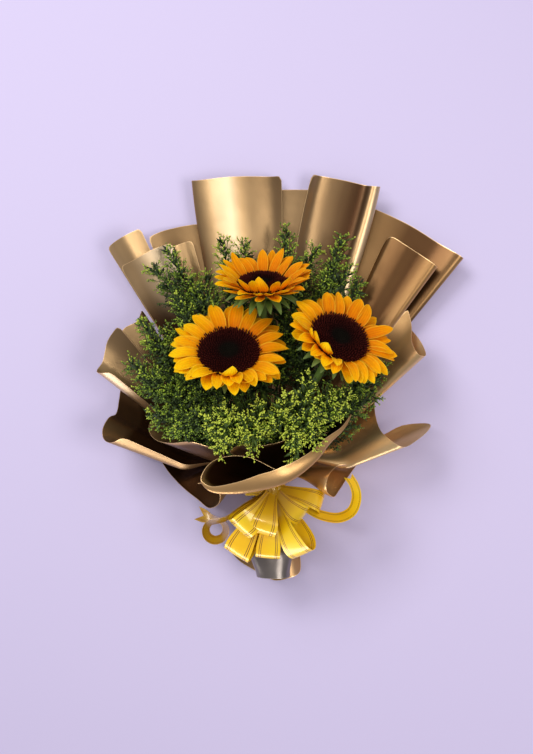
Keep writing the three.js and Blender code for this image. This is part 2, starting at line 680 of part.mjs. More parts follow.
// The disc of florets: a low dome with a sunken middle, its rings raised in spirals
function discSolid(flower, place) {
  const shares = [1, 1.03, 0.84, 0.6, 0.34];
  const rings = shares.map((share, ring) => Array.from({ length: DISC_SIDES }, (_, i) => {
    const angle = (2 * Math.PI * (i + ring * 0.5)) / DISC_SIDES;
    const dome = 6.5 * (1 - share ** 4 * 0.8) - 3.4 * Math.exp(-((share / 0.42) ** 2));
    const relief = ring > 1 && (i + ring) % 3 === 0 ? 1.1 : 0;
    const height = ring === 0 ? 0 : Math.max(dome + relief, 1.4);
    return V(flower.disc * share * Math.cos(angle), flower.disc * share * Math.sin(angle), height)
      .applyMatrix4(place);
  }));
  return fanClosed(rings, V(0, 0, 0).applyMatrix4(place), V(0, 0, 2.9).applyMatrix4(place));
}

// Rings closed by a middle point at each end
function fanClosed(rings, first, last) {
  const count = rings[0].length;
  const points = [first, ...rings.flat(), last];
  const index = [];
  const at = (row, i) => 1 + row * count + (i % count);
  for (let i = 0; i < count; i++) {
    index.push(0, at(0, i + 1), at(0, i));
    index.push(points.length - 1, at(rings.length - 1, i), at(rings.length - 1, i + 1));
    for (let row = 0; row < rings.length - 1; row++) {
      index.push(at(row, i), at(row, i + 1), at(row + 1, i + 1));
      index.push(at(row, i), at(row + 1, i + 1), at(row + 1, i));
    }
  }
  return closed({ points, index });
}

const CUP_TOP = BASE_TOP - BASE_THICK - SEAT_GAP;
const BRACTS = 7;

function stemAndCalyx(flower, place) {
  const profile = [[0, 0], [0.8, 0], [0.84, -2], [0.6, -9], [0.2, -15], [0, -15]]
    .map(([share, height]) => new THREE.Vector2(flower.disc * share, height));
  const cup = new THREE.LatheGeometry(profile.reverse(), 10);
  cup.rotateX(Math.PI / 2);
  cup.translate(0, 0, CUP_TOP);
  cup.applyMatrix4(place);
  const bracts = Array.from({ length: BRACTS }, (_, i) => {
    const angle = (2 * Math.PI * (i + 0.25)) / BRACTS;
    const point = (share, height) => V(flower.disc * share * Math.cos(angle),
      flower.disc * share * Math.sin(angle), height).applyMatrix4(place);
    const side = V(-Math.sin(angle), Math.cos(angle), 0).transformDirection(place);
    const spine = [point(0.62, CUP_TOP - 3.4), point(1.04, CUP_TOP - 3), point(1.3, CUP_TOP - 6)];
    return blade(spine, [12, 11, 2], side, 0.9);
  });
  const back = V(0, 0, CUP_TOP - 12).applyMatrix4(place);
  const throat = V(0, 0, CUP_TOP - 42).applyMatrix4(place);
  const { slot } = flower;
  const bend = V(slot.x, NECK_END + 6, slot.z);
  const path = [V(slot.x, STEM_END, slot.z), bend,
    ...alongCurve([bend, bend.clone().lerp(throat, 0.45).add(V(0, 0, -6)), throat, back], 5).slice(1)];
  const radii = path.map((_, k) => (k === path.length - 1 ? STEM_RADIUS * 1.3 : STEM_RADIUS));
  keep('', alongCurve(path, 40), STEM_RADIUS);
  return fuse([cup, ...bracts, rod(path, radii, 6, Math.PI / 6)]);
}

Object.entries(FLOWERS).forEach(([name, flower]) => {
  const place = flowerFrame(flower);
  add(`sunflower_${name}_petals`, petalSet(flower, place), COLOURS.petal, 0.55);
  add(`sunflower_${name}_disc`, discSolid(flower, place), COLOURS.disc, 0.9);
  add(`sunflower_${name}_stem`, stemAndCalyx(flower, place), COLOURS.stem, 0.6);
  const core = [0.2, 0.5, 0.8].flatMap((share) => [0, 1, 2, 3, 4, 5, 6, 7].map((k) => V(
    flower.disc * share * Math.cos(radians(45 * k)), flower.disc * share * Math.sin(radians(45 * k)), -2,
  ).applyMatrix4(place)));
  keep('', core, HEAD_KEEP);
});

// ---------------------------------------------------------------- goldenrod sprigs
// Each sprig: one plume tip, a second tip that forks off, and how much it droops

const SPRIGS = {
  left_top: { tips: [V(-112, 299, 66), V(-128, 274, 72)], arch: 10, back: 4 },
  left_high: { tips: [V(-100, 238, 88), V(-68, 266, 76)], arch: 12, back: 4 },
  left_upper: { tips: [V(-142, 212, 84), V(-130, 190, 88)], arch: 14, back: 4 },
  left_middle: { tips: [V(-154, 166, 84), V(-136, 143, 88)], arch: 16, back: 4 },
  left_lower: { tips: [V(-128, 108, 96), V(-108, 132, 98)], arch: 10, back: 6 },
  front_left: { tips: [V(-98, 90, 118), V(-76, 108, 122)], arch: 10, back: 18 },
  front_inner_left: { tips: [V(-50, 72, 142), V(-60, 102, 134)], arch: 8, back: 22 },
  front_middle: { tips: [V(-14, 72, 146), V(-24, 102, 146)], arch: 8, back: 24 },
  front_inner_right: { tips: [V(34, 64, 146), V(16, 106, 148)], arch: 8, back: 34 },
  front_right: { tips: [V(56, 76, 142), V(56, 110, 142)], arch: 8, back: 22 },
  right_lower: { tips: [V(78, 110, 124), V(88, 128, 122)], arch: 6, back: 10 },
  right_middle: { tips: [V(122, 128, 100), V(108, 148, 104)], arch: 8, back: 6 },
  right_top: { tips: [V(90, 310, 60), V(98, 274, 72)], arch: 8, back: 4 },
  top_right: { tips: [V(26, 322, 50), V(58, 298, 56)], arch: 6, back: 4 },
  top_left: { tips: [V(-50, 308, 60), V(-24, 302, 58)], arch: 6, back: 4 },
};

const sprigNames = Object.keys(SPRIGS);
const SPRIG_CIRCLE = 11.2; // the sprigs' stems stand on this circle at the tie

// Every sprig takes the place in the bunch that faces its tip, so that no two stems cross
function slotOf(name) {
  const facing = sprigNames.map((other) => {
    const tip = SPRIGS[other].tips[0];
    return { other, angle: Math.atan2((tip.z - 92) * 2.2, tip.x) };
  }).sort((a, b) => a.angle - b.angle);
  const place = facing.findIndex(({ other }) => other === name);
  const angle = (2 * Math.PI * place) / sprigNames.length - Math.PI + 0.2;
  return V(SPRIG_CIRCLE * Math.cos(angle), 0, TIE_HEIGHT + SPRIG_CIRCLE * Math.sin(angle));
}

function clear(owners, points, radius) {
  return points.every((point) => keepOut.every((other) => owners.includes(other.owner)
    || other.point.distanceTo(point) > other.radius + radius));
}

const BUD_REACH = 18;
const BUD_RADIUS = 2.3;
const FORK = 0.45; // where the second plume leaves the main stalk, as a share of its length

function sprigPaths(name) {
  const { tips, arch, back } = SPRIGS[name];
  const slot = slotOf(name);
  const bend = V(slot.x, NECK_END + 4, slot.z);
  const main = new THREE.CatmullRomCurve3([bend, bend.clone().lerp(tips[0], 0.5).add(V(0, back, arch / 2)),
    bend.clone().lerp(tips[0], 0.84).add(V(0, back, arch)), tips[0]], false, 'centripetal');
  const fork = main.getPoint(FORK);
  const side = new THREE.CatmullRomCurve3([fork, fork.clone().lerp(tips[1], 0.6).add(V(0, 3, arch / 3)),
    tips[1]], false, 'centripetal');
  return { slot, bend, main, side };
}

sprigNames.forEach((name) => {
  const { main, side } = sprigPaths(name);
  keep(name, [...main.getPoints(24), ...side.getPoints(10)], 1.6);
});

// A plume: a thin three-sided stalk with a whorl of three buds at every node
function plume(name, twig, curve, from, nodes, before, radius, turn, draw) {
  const path = [...before];
  const starts = [];
  for (let node = 0; node < nodes; node++) {
    const share = lerp(from, 1, (node + 0.5) / nodes);
    starts.push(path.length);
    path.push(curve.getPoint(share - 0.012), curve.getPoint(share + 0.012));
  }
  path.push(curve.getPoint(1));
  const thin = path.map((_, k) => lerp(radius, 0.8, smooth(k, 1, path.length - 1)));
  const data = skinData(rodRings(path, thin, 3, turn));
  starts.forEach((start, node) => {
    const root = path[start].clone().lerp(path[start + 1], 0.5);
    const along = path[start + 1].clone().sub(path[start]).normalize();
    [0, 1, 2].forEach((side) => {
      const triangle = (start * 3 + side) * 2;
      const corners = data.index.slice(triangle * 3, triangle * 3 + 3).map((k) => data.points[k]);
      const away = corners[0].clone().add(corners[1]).add(corners[2]).divideScalar(3).sub(root);
      away.addScaledVector(along, -away.dot(along)).normalize();
      const reach = BUD_REACH * lerp(1.15, 0.7, node / nodes) * (0.8 + 0.4 * draw());
      const aim = away.addScaledVector(along, 0.75).normalize();
      const middle = root.clone().addScaledVector(aim, reach * 0.6);
      const end = root.clone().addScaledVector(aim, reach).add(V(0, 0, -reach * 0.12));
      if (clear([name, twig], [middle, end], BUD_RADIUS + 1.2)) {
        growBud(data, triangle, middle, end, BUD_RADIUS);
        keep(twig, [middle, end], BUD_RADIUS);
      }
    });
  });
  return closed(data);
}

function sprig(name, seed) {
  const draw = random(seed + 20);
  const { slot, bend, main, side } = sprigPaths(name);
  const outward = Math.PI - Math.atan2(slot.z - TIE_HEIGHT, slot.x); // a corner faces the stem band
  const foot = [V(slot.x, STEM_END, slot.z), bend, main.getPoint(FORK / 2), main.getPoint(FORK)];
  return fuse([
    plume(name, `${name} main`, main, FORK + 0.05, 6, foot, SPRIG_RADIUS, outward, draw),
    plume(name, `${name} side`, side, 0.25, 3, [side.getPoint(0)], 1.3, 0, draw),
  ]);
}

sprigNames.forEach((name, k) => {
  const colour = name.startsWith('front') ? COLOURS.sprigBright : COLOURS.sprig;
  add(`goldenrod_${name}`, sprig(name, k), colour, 0.8);
});

// The origin is under the middle of the bunch, on the surface
const extent = new THREE.Box3().setFromObject(bunch);
const middle = extent.getCenter(new THREE.Vector3());
bunch.position.set(-middle.x, -middle.y, -extent.min.z);

export default bunch;
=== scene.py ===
import math

import bpy
import numpy as np
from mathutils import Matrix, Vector
from mathutils.bvhtree import BVHTree


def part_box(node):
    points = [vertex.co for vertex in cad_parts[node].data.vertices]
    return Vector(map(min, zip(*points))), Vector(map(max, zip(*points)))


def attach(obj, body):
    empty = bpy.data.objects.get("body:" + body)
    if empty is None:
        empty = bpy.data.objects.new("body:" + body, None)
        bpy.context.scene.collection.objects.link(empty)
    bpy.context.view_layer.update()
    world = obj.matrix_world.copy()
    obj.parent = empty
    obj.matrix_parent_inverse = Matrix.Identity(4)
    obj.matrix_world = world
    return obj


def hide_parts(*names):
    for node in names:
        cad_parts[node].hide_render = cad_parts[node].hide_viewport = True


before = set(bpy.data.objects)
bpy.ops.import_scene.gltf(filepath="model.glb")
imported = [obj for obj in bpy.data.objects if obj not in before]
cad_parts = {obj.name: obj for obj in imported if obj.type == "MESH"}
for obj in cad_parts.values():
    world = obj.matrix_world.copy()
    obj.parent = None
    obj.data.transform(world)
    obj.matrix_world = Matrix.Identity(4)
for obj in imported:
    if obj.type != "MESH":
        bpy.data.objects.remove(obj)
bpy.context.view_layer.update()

# ------------------------------------------------------------------ where the bunch is tied
# A hand-tied bunch, laid on its back. All its pieces fan out from the point where the stems
# are gathered, so they are laid out in millimetres from that point and moved into place.
TIE_HEIGHT = 50.0  # middle of the stems above the surface, at the tie
STEM_BAND_MIDDLE = 22.0  # of the band round the stems, past the gather point
band_low, band_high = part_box("stem_band")
GATHER = np.array([(band_low.x + band_high.x) * 500.0,
                   (band_low.y + band_high.y) * 500.0 - STEM_BAND_MIDDLE, 0.0])
MM = 0.001


def to_frame(points):
    """Millimetres from the gather point to metres in the part's frame."""
    return (np.asarray(points, float) + GATHER) * MM


# ------------------------------------------------------------------ camera
# It looks straight down on the bunch, at the photograph's angle and distance.
CAMERA_FROM_GATHER = (1.7, 150.65, 1380.0)
FRAME_TALL_MM = 867.1  # what the long side takes in, at CAMERA_REACH from the camera
CAMERA_REACH = 1300.0
SENSOR_MM = 36.0

camera = bpy.data.objects.new("camera", bpy.data.cameras.new("camera"))
camera.location = to_frame([CAMERA_FROM_GATHER])[0]
camera.data.sensor_fit = "AUTO"
camera.data.sensor_width = SENSOR_MM
camera.data.lens = SENSOR_MM * CAMERA_REACH / FRAME_TALL_MM
camera.data.clip_start = 0.05
camera.data.clip_end = 20.0
bpy.context.scene.collection.objects.link(camera)
bpy.context.scene.camera = camera


# ------------------------------------------------------------------ table top and light
# A pale matte surface under the bunch. Soft window light comes from the top left, a narrow strip
# draws the long highlights down the papers, a low light that leaves out the table catches turned
# edges and the ribbon, and a broad one fills in from the right. No film curve lies over the colours.
bpy.context.scene.view_settings.view_transform = "Standard"


def new_material(name):
    """A material and its shader."""
    material = bpy.data.materials.new(name)
    material.use_nodes = True
    return material, material.node_tree.nodes["Principled BSDF"]


def wire(node, inputs):
    """Sets a node's inputs by name or number: a value is set, another node's output is linked."""
    for key, value in inputs.items():
        if isinstance(value, bpy.types.NodeSocket):
            node.id_data.links.new(value, node.inputs[key])
        else:
            node.inputs[key].default_value = value


TABLE_COLOUR, SKY_COLOUR, SKY_STRENGTH = (0.68, 0.615, 0.88), (0.93, 0.91, 1.0), 0.30
TABLE_SIZE, TABLE_BELOW = 12.0, 0.0008
bpy.ops.mesh.primitive_plane_add(size=TABLE_SIZE, location=(0, 0, -TABLE_BELOW))
table_top = bpy.context.object
table_top.name = "table_top"
material, shader = new_material("table_top")
wire(shader, {"Base Color": (*TABLE_COLOUR, 1), "Roughness": 0.8})
table_top.data.materials.append(material)

world = bpy.data.worlds.new("studio")
world.use_nodes = True
wire(world.node_tree.nodes["Background"], {"Color": (*SKY_COLOUR, 1), "Strength": SKY_STRENGTH})
bpy.context.scene.world = world


def area_light(name, place, aim, size, power, colour):
    """A soft lamp of a given width and height, in metres and watts."""
    light = bpy.data.lights.new(name, "AREA")
    light.shape = "RECTANGLE"
    light.size, light.size_y = size
    light.energy = power
    light.color = colour
    lamp = bpy.data.objects.new(name, light)
    lamp.location = place
    lamp.rotation_euler = (Vector(aim) - Vector(place)).to_track_quat("-Z", "Y").to_euler()
    bpy.context.scene.collection.objects.link(lamp)
    return lamp


area_light("window", (-1.0, 1.2, 1.7), (0, 0, 0.1), (1.1, 0.8), 25, (1.0, 0.98, 0.95))
area_light("strip", (-0.36, 0.2, 1.8), (0, 0.05, 0.1), (0.16, 1.2), 7, (1.0, 0.97, 0.92))
low = area_light("low", (-0.55, -1.15, 0.2), (-0.08, -0.05, 0.1), (1.3, 0.34), 9, (1.0, 0.98, 0.96))
area_light("fill", (1.15, -0.25, 1.75), (0.05, 0, 0.1), (0.9, 0.9), 14, (1.0, 0.96, 0.9))
shaded = bpy.data.collections.new("shaded_from_low_light")
shaded.objects.link(table_top)
low.light_linking.receiver_collection = shaded
shaded.collection_objects[0].light_linking.link_state = "EXCLUDE"


# ------------------------------------------------------------------ sheets of florist's paper
# Satin bronze paper, cut in squares, gathered at the tie and fanned out. Each sheet is a fan of
# lines from the gather point to its free edge, with soft folds that run down it, a side that
# rolls over where the edge turns back, and rounded corners.
SHEET_COLUMNS = 54
SHEET_ROWS = 40
SHEET_THICK = 0.35
CORNER = 5.0


def smooth(value, start, end):
    """A soft step from 0 at the start to 1 at the end."""
    t = np.clip((value - start) / (end - start), 0.0, 1.0)
    return t * t * (3 - 2 * t)


def mix(a, b, share):
    """What lies a share of the way from a to b."""
    return a + (b - a) * share


def through(points, count):
    """Points on a smooth curve through the given ones: a centripetal Catmull-Rom spline."""
    p = np.asarray(points, float)
    last = len(p) - 1
    result = []
    for k in range(count + 1):
        where = last * k / count
        i = min(int(where), last - 1)
        t = where - i
        p1, p2 = p[i], p[i + 1]
        p0 = p[i - 1] if i > 0 else 2 * p[0] - p[1]
        p3 = p[i + 2] if i + 2 <= last else 2 * p[last] - p[last - 1]
        d0, d1, d2 = (np.sum((b - a) ** 2) ** 0.25 for a, b in ((p0, p1), (p1, p2), (p2, p3)))
        d1 = d1 if d1 > 1e-4 else 1.0
        d0 = d0 if d0 > 1e-4 else d1
        d2 = d2 if d2 > 1e-4 else d1
        m1 = ((p1 - p0) / d0 - (p2 - p0) / (d0 + d1) + (p2 - p1) / d1) * d1
        m2 = ((p2 - p1) / d1 - (p3 - p1) / (d1 + d2) + (p3 - p2) / d2) * d1
        result.append(p1 + m1 * t + (-3 * p1 + 3 * p2 - 2 * m1 - m2) * t ** 2
                      + (2 * p1 - 2 * p2 + m1 + m2) * t ** 3)
    return np.array(result)


def run_along(line):
    """How far along a line each of its points is."""
    return np.concatenate([[0], np.cumsum(np.linalg.norm(np.diff(line, axis=0), axis=1))])


def grid_normals(grid):
    """Directions square to a sheet, at the points of its grid."""
    down = np.gradient(grid, axis=0)
    over = np.gradient(grid, axis=1)
    normal = np.cross(over, down)
    return normal / np.maximum(np.linalg.norm(normal, axis=2, keepdims=True), 1e-9)


def mesh_object(name, points, faces, material, values=None, sharp=50):
    """A smooth-shaded piece from points in millimetres, with named values at its points."""
    mesh = bpy.data.meshes.new(name)
    mesh.from_pydata(to_frame(points).tolist(), [], faces)
    mesh.polygons.foreach_set("use_smooth", [True] * len(mesh.polygons))
    for key, value in (values or {}).items():
        kept = mesh.attributes.new(key, "FLOAT", "POINT")
        kept.data.foreach_set("value", np.asarray(value, np.float32).ravel())
    mesh.update()
    if sharp:
        mesh.set_sharp_from_angle(angle=math.radians(sharp))
    mesh.materials.append(material)
    piece = bpy.data.objects.new(name, mesh)
    bpy.context.scene.collection.objects.link(piece)
    return piece


def two_sided(grid, thick):
    """Points and faces of a closed sheet of the given thickness, from a grid of points."""
    rows, columns = grid.shape[:2]
    normal = grid_normals(grid)
    thick = np.broadcast_to(np.asarray(thick, float), (rows, columns))[..., None]
    front = (grid + normal * thick / 2).reshape(-1, 3)
    back = (grid - normal * thick / 2).reshape(-1, 3)
    at = np.arange(rows * columns).reshape(rows, columns)
    a, b, c, d = at[:-1, :-1], at[:-1, 1:], at[1:, 1:], at[1:, :-1]
    quads = np.stack([a, b, c, d], -1).reshape(-1, 4)
    under = quads[:, ::-1] + rows * columns
    rim = np.concatenate([at[0, :], at[1:, -1], at[-1, -2::-1], at[-2:0:-1, 0]])
    ahead = np.roll(rim, -1)
    edge = np.stack([ahead, rim, rim + rows * columns, ahead + rows * columns], -1)
    return np.concatenate([front, back]), np.concatenate([quads, under, edge]).tolist()


def draws_for(*numbers):
    """Random draws that are the same each time, for the piece that the numbers stand for."""
    return np.random.default_rng([int(abs(n) * 1000) % 2 ** 31 for n in numbers])


def add_node(shader, kind, inputs, **settings):
    """A node of the shader's material, with its settings and its inputs."""
    node = shader.id_data.nodes.new("ShaderNode" + kind)
    for key, value in settings.items():
        setattr(node, key, value)
    wire(node, inputs)
    return node


def field(shader, name):
    """A value kept at the points of the mesh."""
    return add_node(shader, "Attribute", {}, attribute_name=name).outputs["Fac"]


def noise(shader, scale, detail):
    """A noise value in the piece's own space."""
    place = add_node(shader, "TexCoord", {}).outputs["Object"]
    return add_node(shader, "TexNoise", {"Vector": place, "Scale": scale, "Detail": detail}).outputs["Fac"]


def ramp(shader, value, stops):
    """Colours set along a value."""
    node = add_node(shader, "ValToRGB", {"Fac": value})
    marks = node.color_ramp.elements
    while len(marks) > 1:
        marks.remove(marks[-1])
    for k, (where, rgb) in enumerate(stops):
        mark = marks[0] if k == 0 else marks.new(where)
        mark.position = where
        mark.color = (*rgb, 1.0)
    return node.outputs["Color"]


def blend(shader, share, a, b, kind="MIX"):
    """Two colours mixed, or multiplied, by a share."""
    node = add_node(shader, "Mix", {"Factor": share, "A": a, "B": b}, data_type="RGBA", blend_type=kind)
    return node.outputs["Result"]


def spread_out(shader, value, start, end, low, high, kind="LINEAR"):
    """A value's run from start to end, spread from low to high."""
    inputs = {"Value": value, "From Min": start, "From Max": end, "To Min": low, "To Max": high}
    return add_node(shader, "MapRange", inputs, interpolation_type=kind).outputs["Result"]


def bump(shader, height, strength, distance, before=None):
    """A bump from a height value, on top of another bump where given."""
    inputs = {"Height": height, "Strength": strength, "Distance": distance}
    if before is not None:
        inputs["Normal"] = before
    return add_node(shader, "Bump", inputs).outputs["Normal"]


PAINTED_SHADE_COLOUR = (0.075, 0.034, 0.012, 1)  # painted shade: what the paper's tone is multiplied by where shade is painted on it
# painted highlight: the pale colour that painted highlight streaks are mixed towards
PAINTED_HIGHLIGHT_COLOUR = (0.84, 0.73, 0.55, 1)
WARM = (1.10, 0.86, 0.46, 1)
EDGE_BRIGHTER = 1.7
EDGE_WHITE, EDGE_CLEAR = 0.2, 0.8  # millimetres from the cut edge


def satin_paper(name, light, deep, metallic, roughness):
    """Satin paper: cloudy tone, fine grain, paler cut edges, with painted shade and painted highlight laid
    on.
    """
    material, shader = new_material(name)
    cloudy = ramp(shader, noise(shader, 9.0, 2.0), [(0.32, deep), (0.68, light)])
    # Painted shade is multiplied in deep in the bunch and inside the rolled mouths, then painted highlight
    # streaks are mixed in.
    inside = blend(shader, field(shader, "painted_shade"), cloudy, PAINTED_SHADE_COLOUR, "MULTIPLY")
    with_painted_highlight = blend(shader, field(shader, "pale"), inside, PAINTED_HIGHLIGHT_COLOUR)
    warm = blend(shader, field(shader, "tint"), with_painted_highlight, WARM, "MULTIPLY")
    cut = spread_out(shader, field(shader, "rim"), EDGE_WHITE, EDGE_CLEAR, 0.8, 0.0)
    edge = blend(shader, cut, warm, (*(min(1.0, EDGE_BRIGHTER * c) for c in light), 1))
    rough = spread_out(shader, noise(shader, 38.0, 4.0), 0, 1, roughness - 0.05, roughness + 0.07)
    grain = bump(shader, noise(shader, 1400.0, 2.0), 0.12, 0.0002)
    waved = bump(shader, noise(shader, 60.0, 3.0), 0.16, 0.0012, grain)
    wire(shader, {"Base Color": edge, "Roughness": rough, "Metallic": metallic, "Normal": waved})
    return material


GOLD = satin_paper("satin_gold_paper", (0.60, 0.40, 0.20), (0.50, 0.315, 0.145), 0.84, 0.33)

PAPER_THICK = 0.8  # of the solids that stand for the sheets
LAYER_STEP = 1.15  # from one sheet to the next, at the tie
LOWEST = SHEET_THICK / 2 + 0.02  # no sheet's middle is lower
BUNCH_RADIUS = 13.2
BUNCH_CLEAR = 2.2  # between the stems and the first sheet
UNDER_STEMS = TIE_HEIGHT - BUNCH_RADIUS - BUNCH_CLEAR
OVER_STEMS = TIE_HEIGHT + BUNCH_RADIUS + BUNCH_CLEAR
TOP_LAYER = 2
NECK_START, NECK_END = 12.0, 34.0  # the sheets lie flat on each other here
FANNED_FROM, FLAT_FROM = 110.0, 118.0  # where they are fully fanned, and where the lowest lies down
BACK_SLOPE = 0.131  # of a straight line from the tie down to the lowest sheet's edge


def layer_height(layer):
    """The height of a layer of sheets under the stems, at the tie."""
    return UNDER_STEMS - (TOP_LAYER - layer) * LAYER_STEP


def sag(reach):
    """How far the centre sheet sinks below a straight line from the tie, as it lies down."""
    straight = TIE_HEIGHT - BACK_SLOPE * reach
    return straight - mix(layer_height(0), PAPER_THICK / 2, smooth(reach, NECK_END, FLAT_FROM))


WAVES = ((1, 0.62), (1.9, 0.28), (3.1, 0.14))  # how many to a fold, and how high


def waves(across, along, folds, draw):
    """Soft folds that run from the tie to the free edge, between -1 and 1."""
    total = np.zeros(np.broadcast(across, along).shape)
    for to_a_fold, high in WAVES:
        count = folds * to_a_fold * (0.8 + 0.4 * draw.random())
        lean = 0.5 * (draw.random() - 0.5)
        start = draw.random() * 2 * math.pi
        total += high * np.sin(2 * math.pi * count * (across + lean * along) + start)
    return total


def corner_trim(from_side):
    """How much a rounded corner takes off the free edge, at a distance from the side."""
    left = np.clip(CORNER - from_side, 0, CORNER)
    return CORNER - np.sqrt(CORNER ** 2 - left ** 2)


def dress_sheet(name, grid, to_edge, to_side, tint=0.0, painted_shade=(0.0, 0.0), pale=0.0):
    """Makes a closed sheet. Its points hold their distance to the cut edge and how tinted, how much
    painted highlight and, on each of its two faces, how much painted shade the paper has there."""
    points, faces = two_sided(grid, SHEET_THICK)
    size = grid.shape[:2]
    rim = np.broadcast_to(np.minimum(to_edge, to_side), size)
    piece = mesh_object(name, points, faces, GOLD, {
        "rim": np.tile(rim.ravel(), 2),
        "tint": np.full(len(points), tint),
        "pale": np.tile(np.broadcast_to(pale, size).ravel(), 2),
        "painted_shade": np.concatenate([np.broadcast_to(side, size).ravel() for side in painted_shade]),
    })
    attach(piece, "root")
    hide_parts(name)


LOOSE_FROM, LOOSE_TO = 60, 240  # where the folds start, and where they have their full height
TONE_FROM, TONE_TO = 20, 60  # where a sheet's own tone starts, and where it is in full


def back_sheet(name, layer, neck, edge, belly=None, lies=False, folds=0.9, height=0.7, tint=0.0,
               deep=(110, 230, 0.9), shade=(0,)):
    """One sheet, fanned from its neck bearings to the points (bearing, reach, height) of its edge.
    Belly is how far its sides bow out. Deep is how far in from its edge painted shade starts and
    is full, and how dark it gets. Shade gives streaks painted across it, at even steps from its
    first side to its last: above zero painted shade, below zero painted highlight."""
    draw = draws_for(*edge[0], *edge[-1], len(edge))
    free = through(edge, SHEET_COLUMNS)
    across = np.linspace(0, 1, SHEET_COLUMNS + 1)[None, :]
    bearing_end, reach_end, height_end = free.T
    full_reach = reach_end[None, :]
    turn = np.radians(bearing_end)
    outline = np.stack([reach_end * np.sin(turn), reach_end * np.cos(turn), height_end], 1)
    run = run_along(outline)
    from_side = np.minimum(run, run[-1] - run)
    trimmed = (reach_end - corner_trim(from_side))[None, :]
    share = np.linspace(0, 1, SHEET_ROWS + 1)[:, None]
    reach = mix(NECK_START, trimmed, share)
    spread = smooth(reach, NECK_END, np.minimum(FANNED_FROM, full_reach))
    up = (reach - NECK_END) / (full_reach - NECK_END)
    bow = mix(belly[0], belly[1], across) * 4 * up * (1 - up) if belly else 0.0
    bearing = np.radians(mix(mix(neck[0], neck[1], across), bearing_end[None, :] + bow, spread))
    straight = (TIE_HEIGHT + (height_end + sag(reach_end) - TIE_HEIGHT)[None, :]
                * (reach / full_reach) - sag(reach))
    level = mix(layer_height(layer), straight, spread)
    if lies:
        level = np.where(reach >= FLAT_FROM, PAPER_THICK / 2, level)
    grid = np.stack([reach * np.sin(bearing), reach * np.cos(bearing), level], 2)
    if not lies:
        loose = smooth(reach, LOOSE_FROM, LOOSE_TO) * height
        grid = grid + grid_normals(grid) * (loose * waves(across, share, folds, draw))[..., None]
    grid[..., 2] = np.maximum(grid[..., 2], LOWEST)
    to_edge = trimmed - reach
    to_side = from_side[None, :] * reach / full_reach
    # Painted shade deep in the bunch, growing in from the free edge.
    dark = smooth(to_edge, deep[0], deep[1]) * deep[2]
    # Streaks painted across the sheet: painted shade above zero, painted highlight below zero.
    tone = np.interp(across, np.linspace(0, 1, len(shade)), shade) * smooth(reach, TONE_FROM, TONE_TO)
    # The painted highlight fades where painted shade lies deep in the bunch.
    pale, painted_shade_streaks = np.maximum(-tone, 0) * (1 - dark ** 2), np.maximum(tone, 0)
    both = np.maximum(dark, painted_shade_streaks)
    inner = neck[1] > neck[0]
    dress_sheet(name, grid, to_edge, to_side, tint, (both, painted_shade_streaks) if inner else (painted_shade_streaks, both), pale)


# Shade paints streaks of shade and highlight across each sheet; deep paints shade towards the tie.
back_sheet(
    "paper_back_centre", 0, (-2, 6), lies=True, deep=(-60, 120, 0.85),
    shade=(0.4, 0.45),
    edge=[[-5, 378, 0.4], [-0.6, 378, 0.4], [5.5, 381, 0.4], [11.8, 386, 0.4], [14.6, 388, 0.4]])
back_sheet(
    "paper_back_left", 1, (-5, 1), belly=(-2.8, 1.3), folds=0.7, height=0.8,
    shade=(0.6, 0.6, 0.35, 0.3, -0.1, -0.35, 0.25, 0.38, 0.45),
    edge=[[-10.6, 394, 12], [-12.2, 397, 14], [-12.9, 397, 19], [-11.9, 395, 24.5], [-9.6, 393, 29],
          [-6.6, 392, 31], [-3.2, 391, 29.5], [0.2, 391, 24], [2.8, 394, 14]])
back_sheet(
    "paper_back_right", 2, (3.2, 7.8), belly=(-1.6, 2.8), folds=0.7, height=0.8,
    shade=(0.6, 0.5, 0.5, 0.62, 0.8, 0.92, 0.97, 0.85, 0, -0.35, -0.3, 0.3, 0.5),
    edge=[[8.1, 399, 20], [10.8, 396, 31], [14, 397, 29.5], [16.9, 398, 28], [18.9, 399, 36],
          [20, 402, 31], [18.9, 400, 23]])


# ------------------------------------------------------------------ sheets at the sides of the back
# More sheets of the same satin paper, fanned left and right behind the flowers. Those on the
# right have one side rolled over; the short ones on the left are folded double.
# These sheets carry painted shade and painted highlight the same way.
back_sheet(
    "paper_right_back", 1, (5.5, 15.5), folds=0.9, tint=0.35, deep=(-60, 150, 0.85),
    shade=(0.5, 0.5, 0.6, 0.9, 0.92, 0.8, -0.2, -0.3),
    edge=[[13.6, 377, 5], [18.1, 379, 7], [23, 378, 10], [28, 377, 14], [33.4, 375, 20],
          [37.9, 376, 31], [39, 377, 26], [37, 376, 17]])
back_sheet(
    "paper_right_inner", 2, (9.8, 14.3), folds=0.8, tint=0.45,
    shade=(0.75, 0.8, 0.87, 0.9, 0.55, -0.3, 0.8),
    edge=[[24.6, 344, 30], [25.6, 351, 38], [28.3, 349, 43], [31.8, 348, 42], [34.8, 347, 47],
          [36, 347, 40], [34, 349, 33]])
back_sheet(
    "paper_left_back", 0, (-9.5, -3), folds=0.8, tint=0.1, shade=(0.35, 0.35),
    edge=[[-23.9, 349, 14], [-21.3, 350, 12], [-18.1, 349, 9], [-14.6, 347, 7], [-10.2, 343, 4],
          [-6.8, 342, 3]])
back_sheet(
    "paper_left_outer", 1, (-13, -9.8), folds=0.8, deep=(25, 100, 0.95),
    edge=[[-31.8, 359, 24], [-29.8, 360, 31], [-27.5, 360, 35], [-24.4, 360, 34]])
back_sheet(
    "paper_left_slip", 1, (-9.4, -6.2), folds=0.8,
    edge=[[-23.4, 323, 27], [-19.1, 325, 33], [-15.5, 326, 29]])
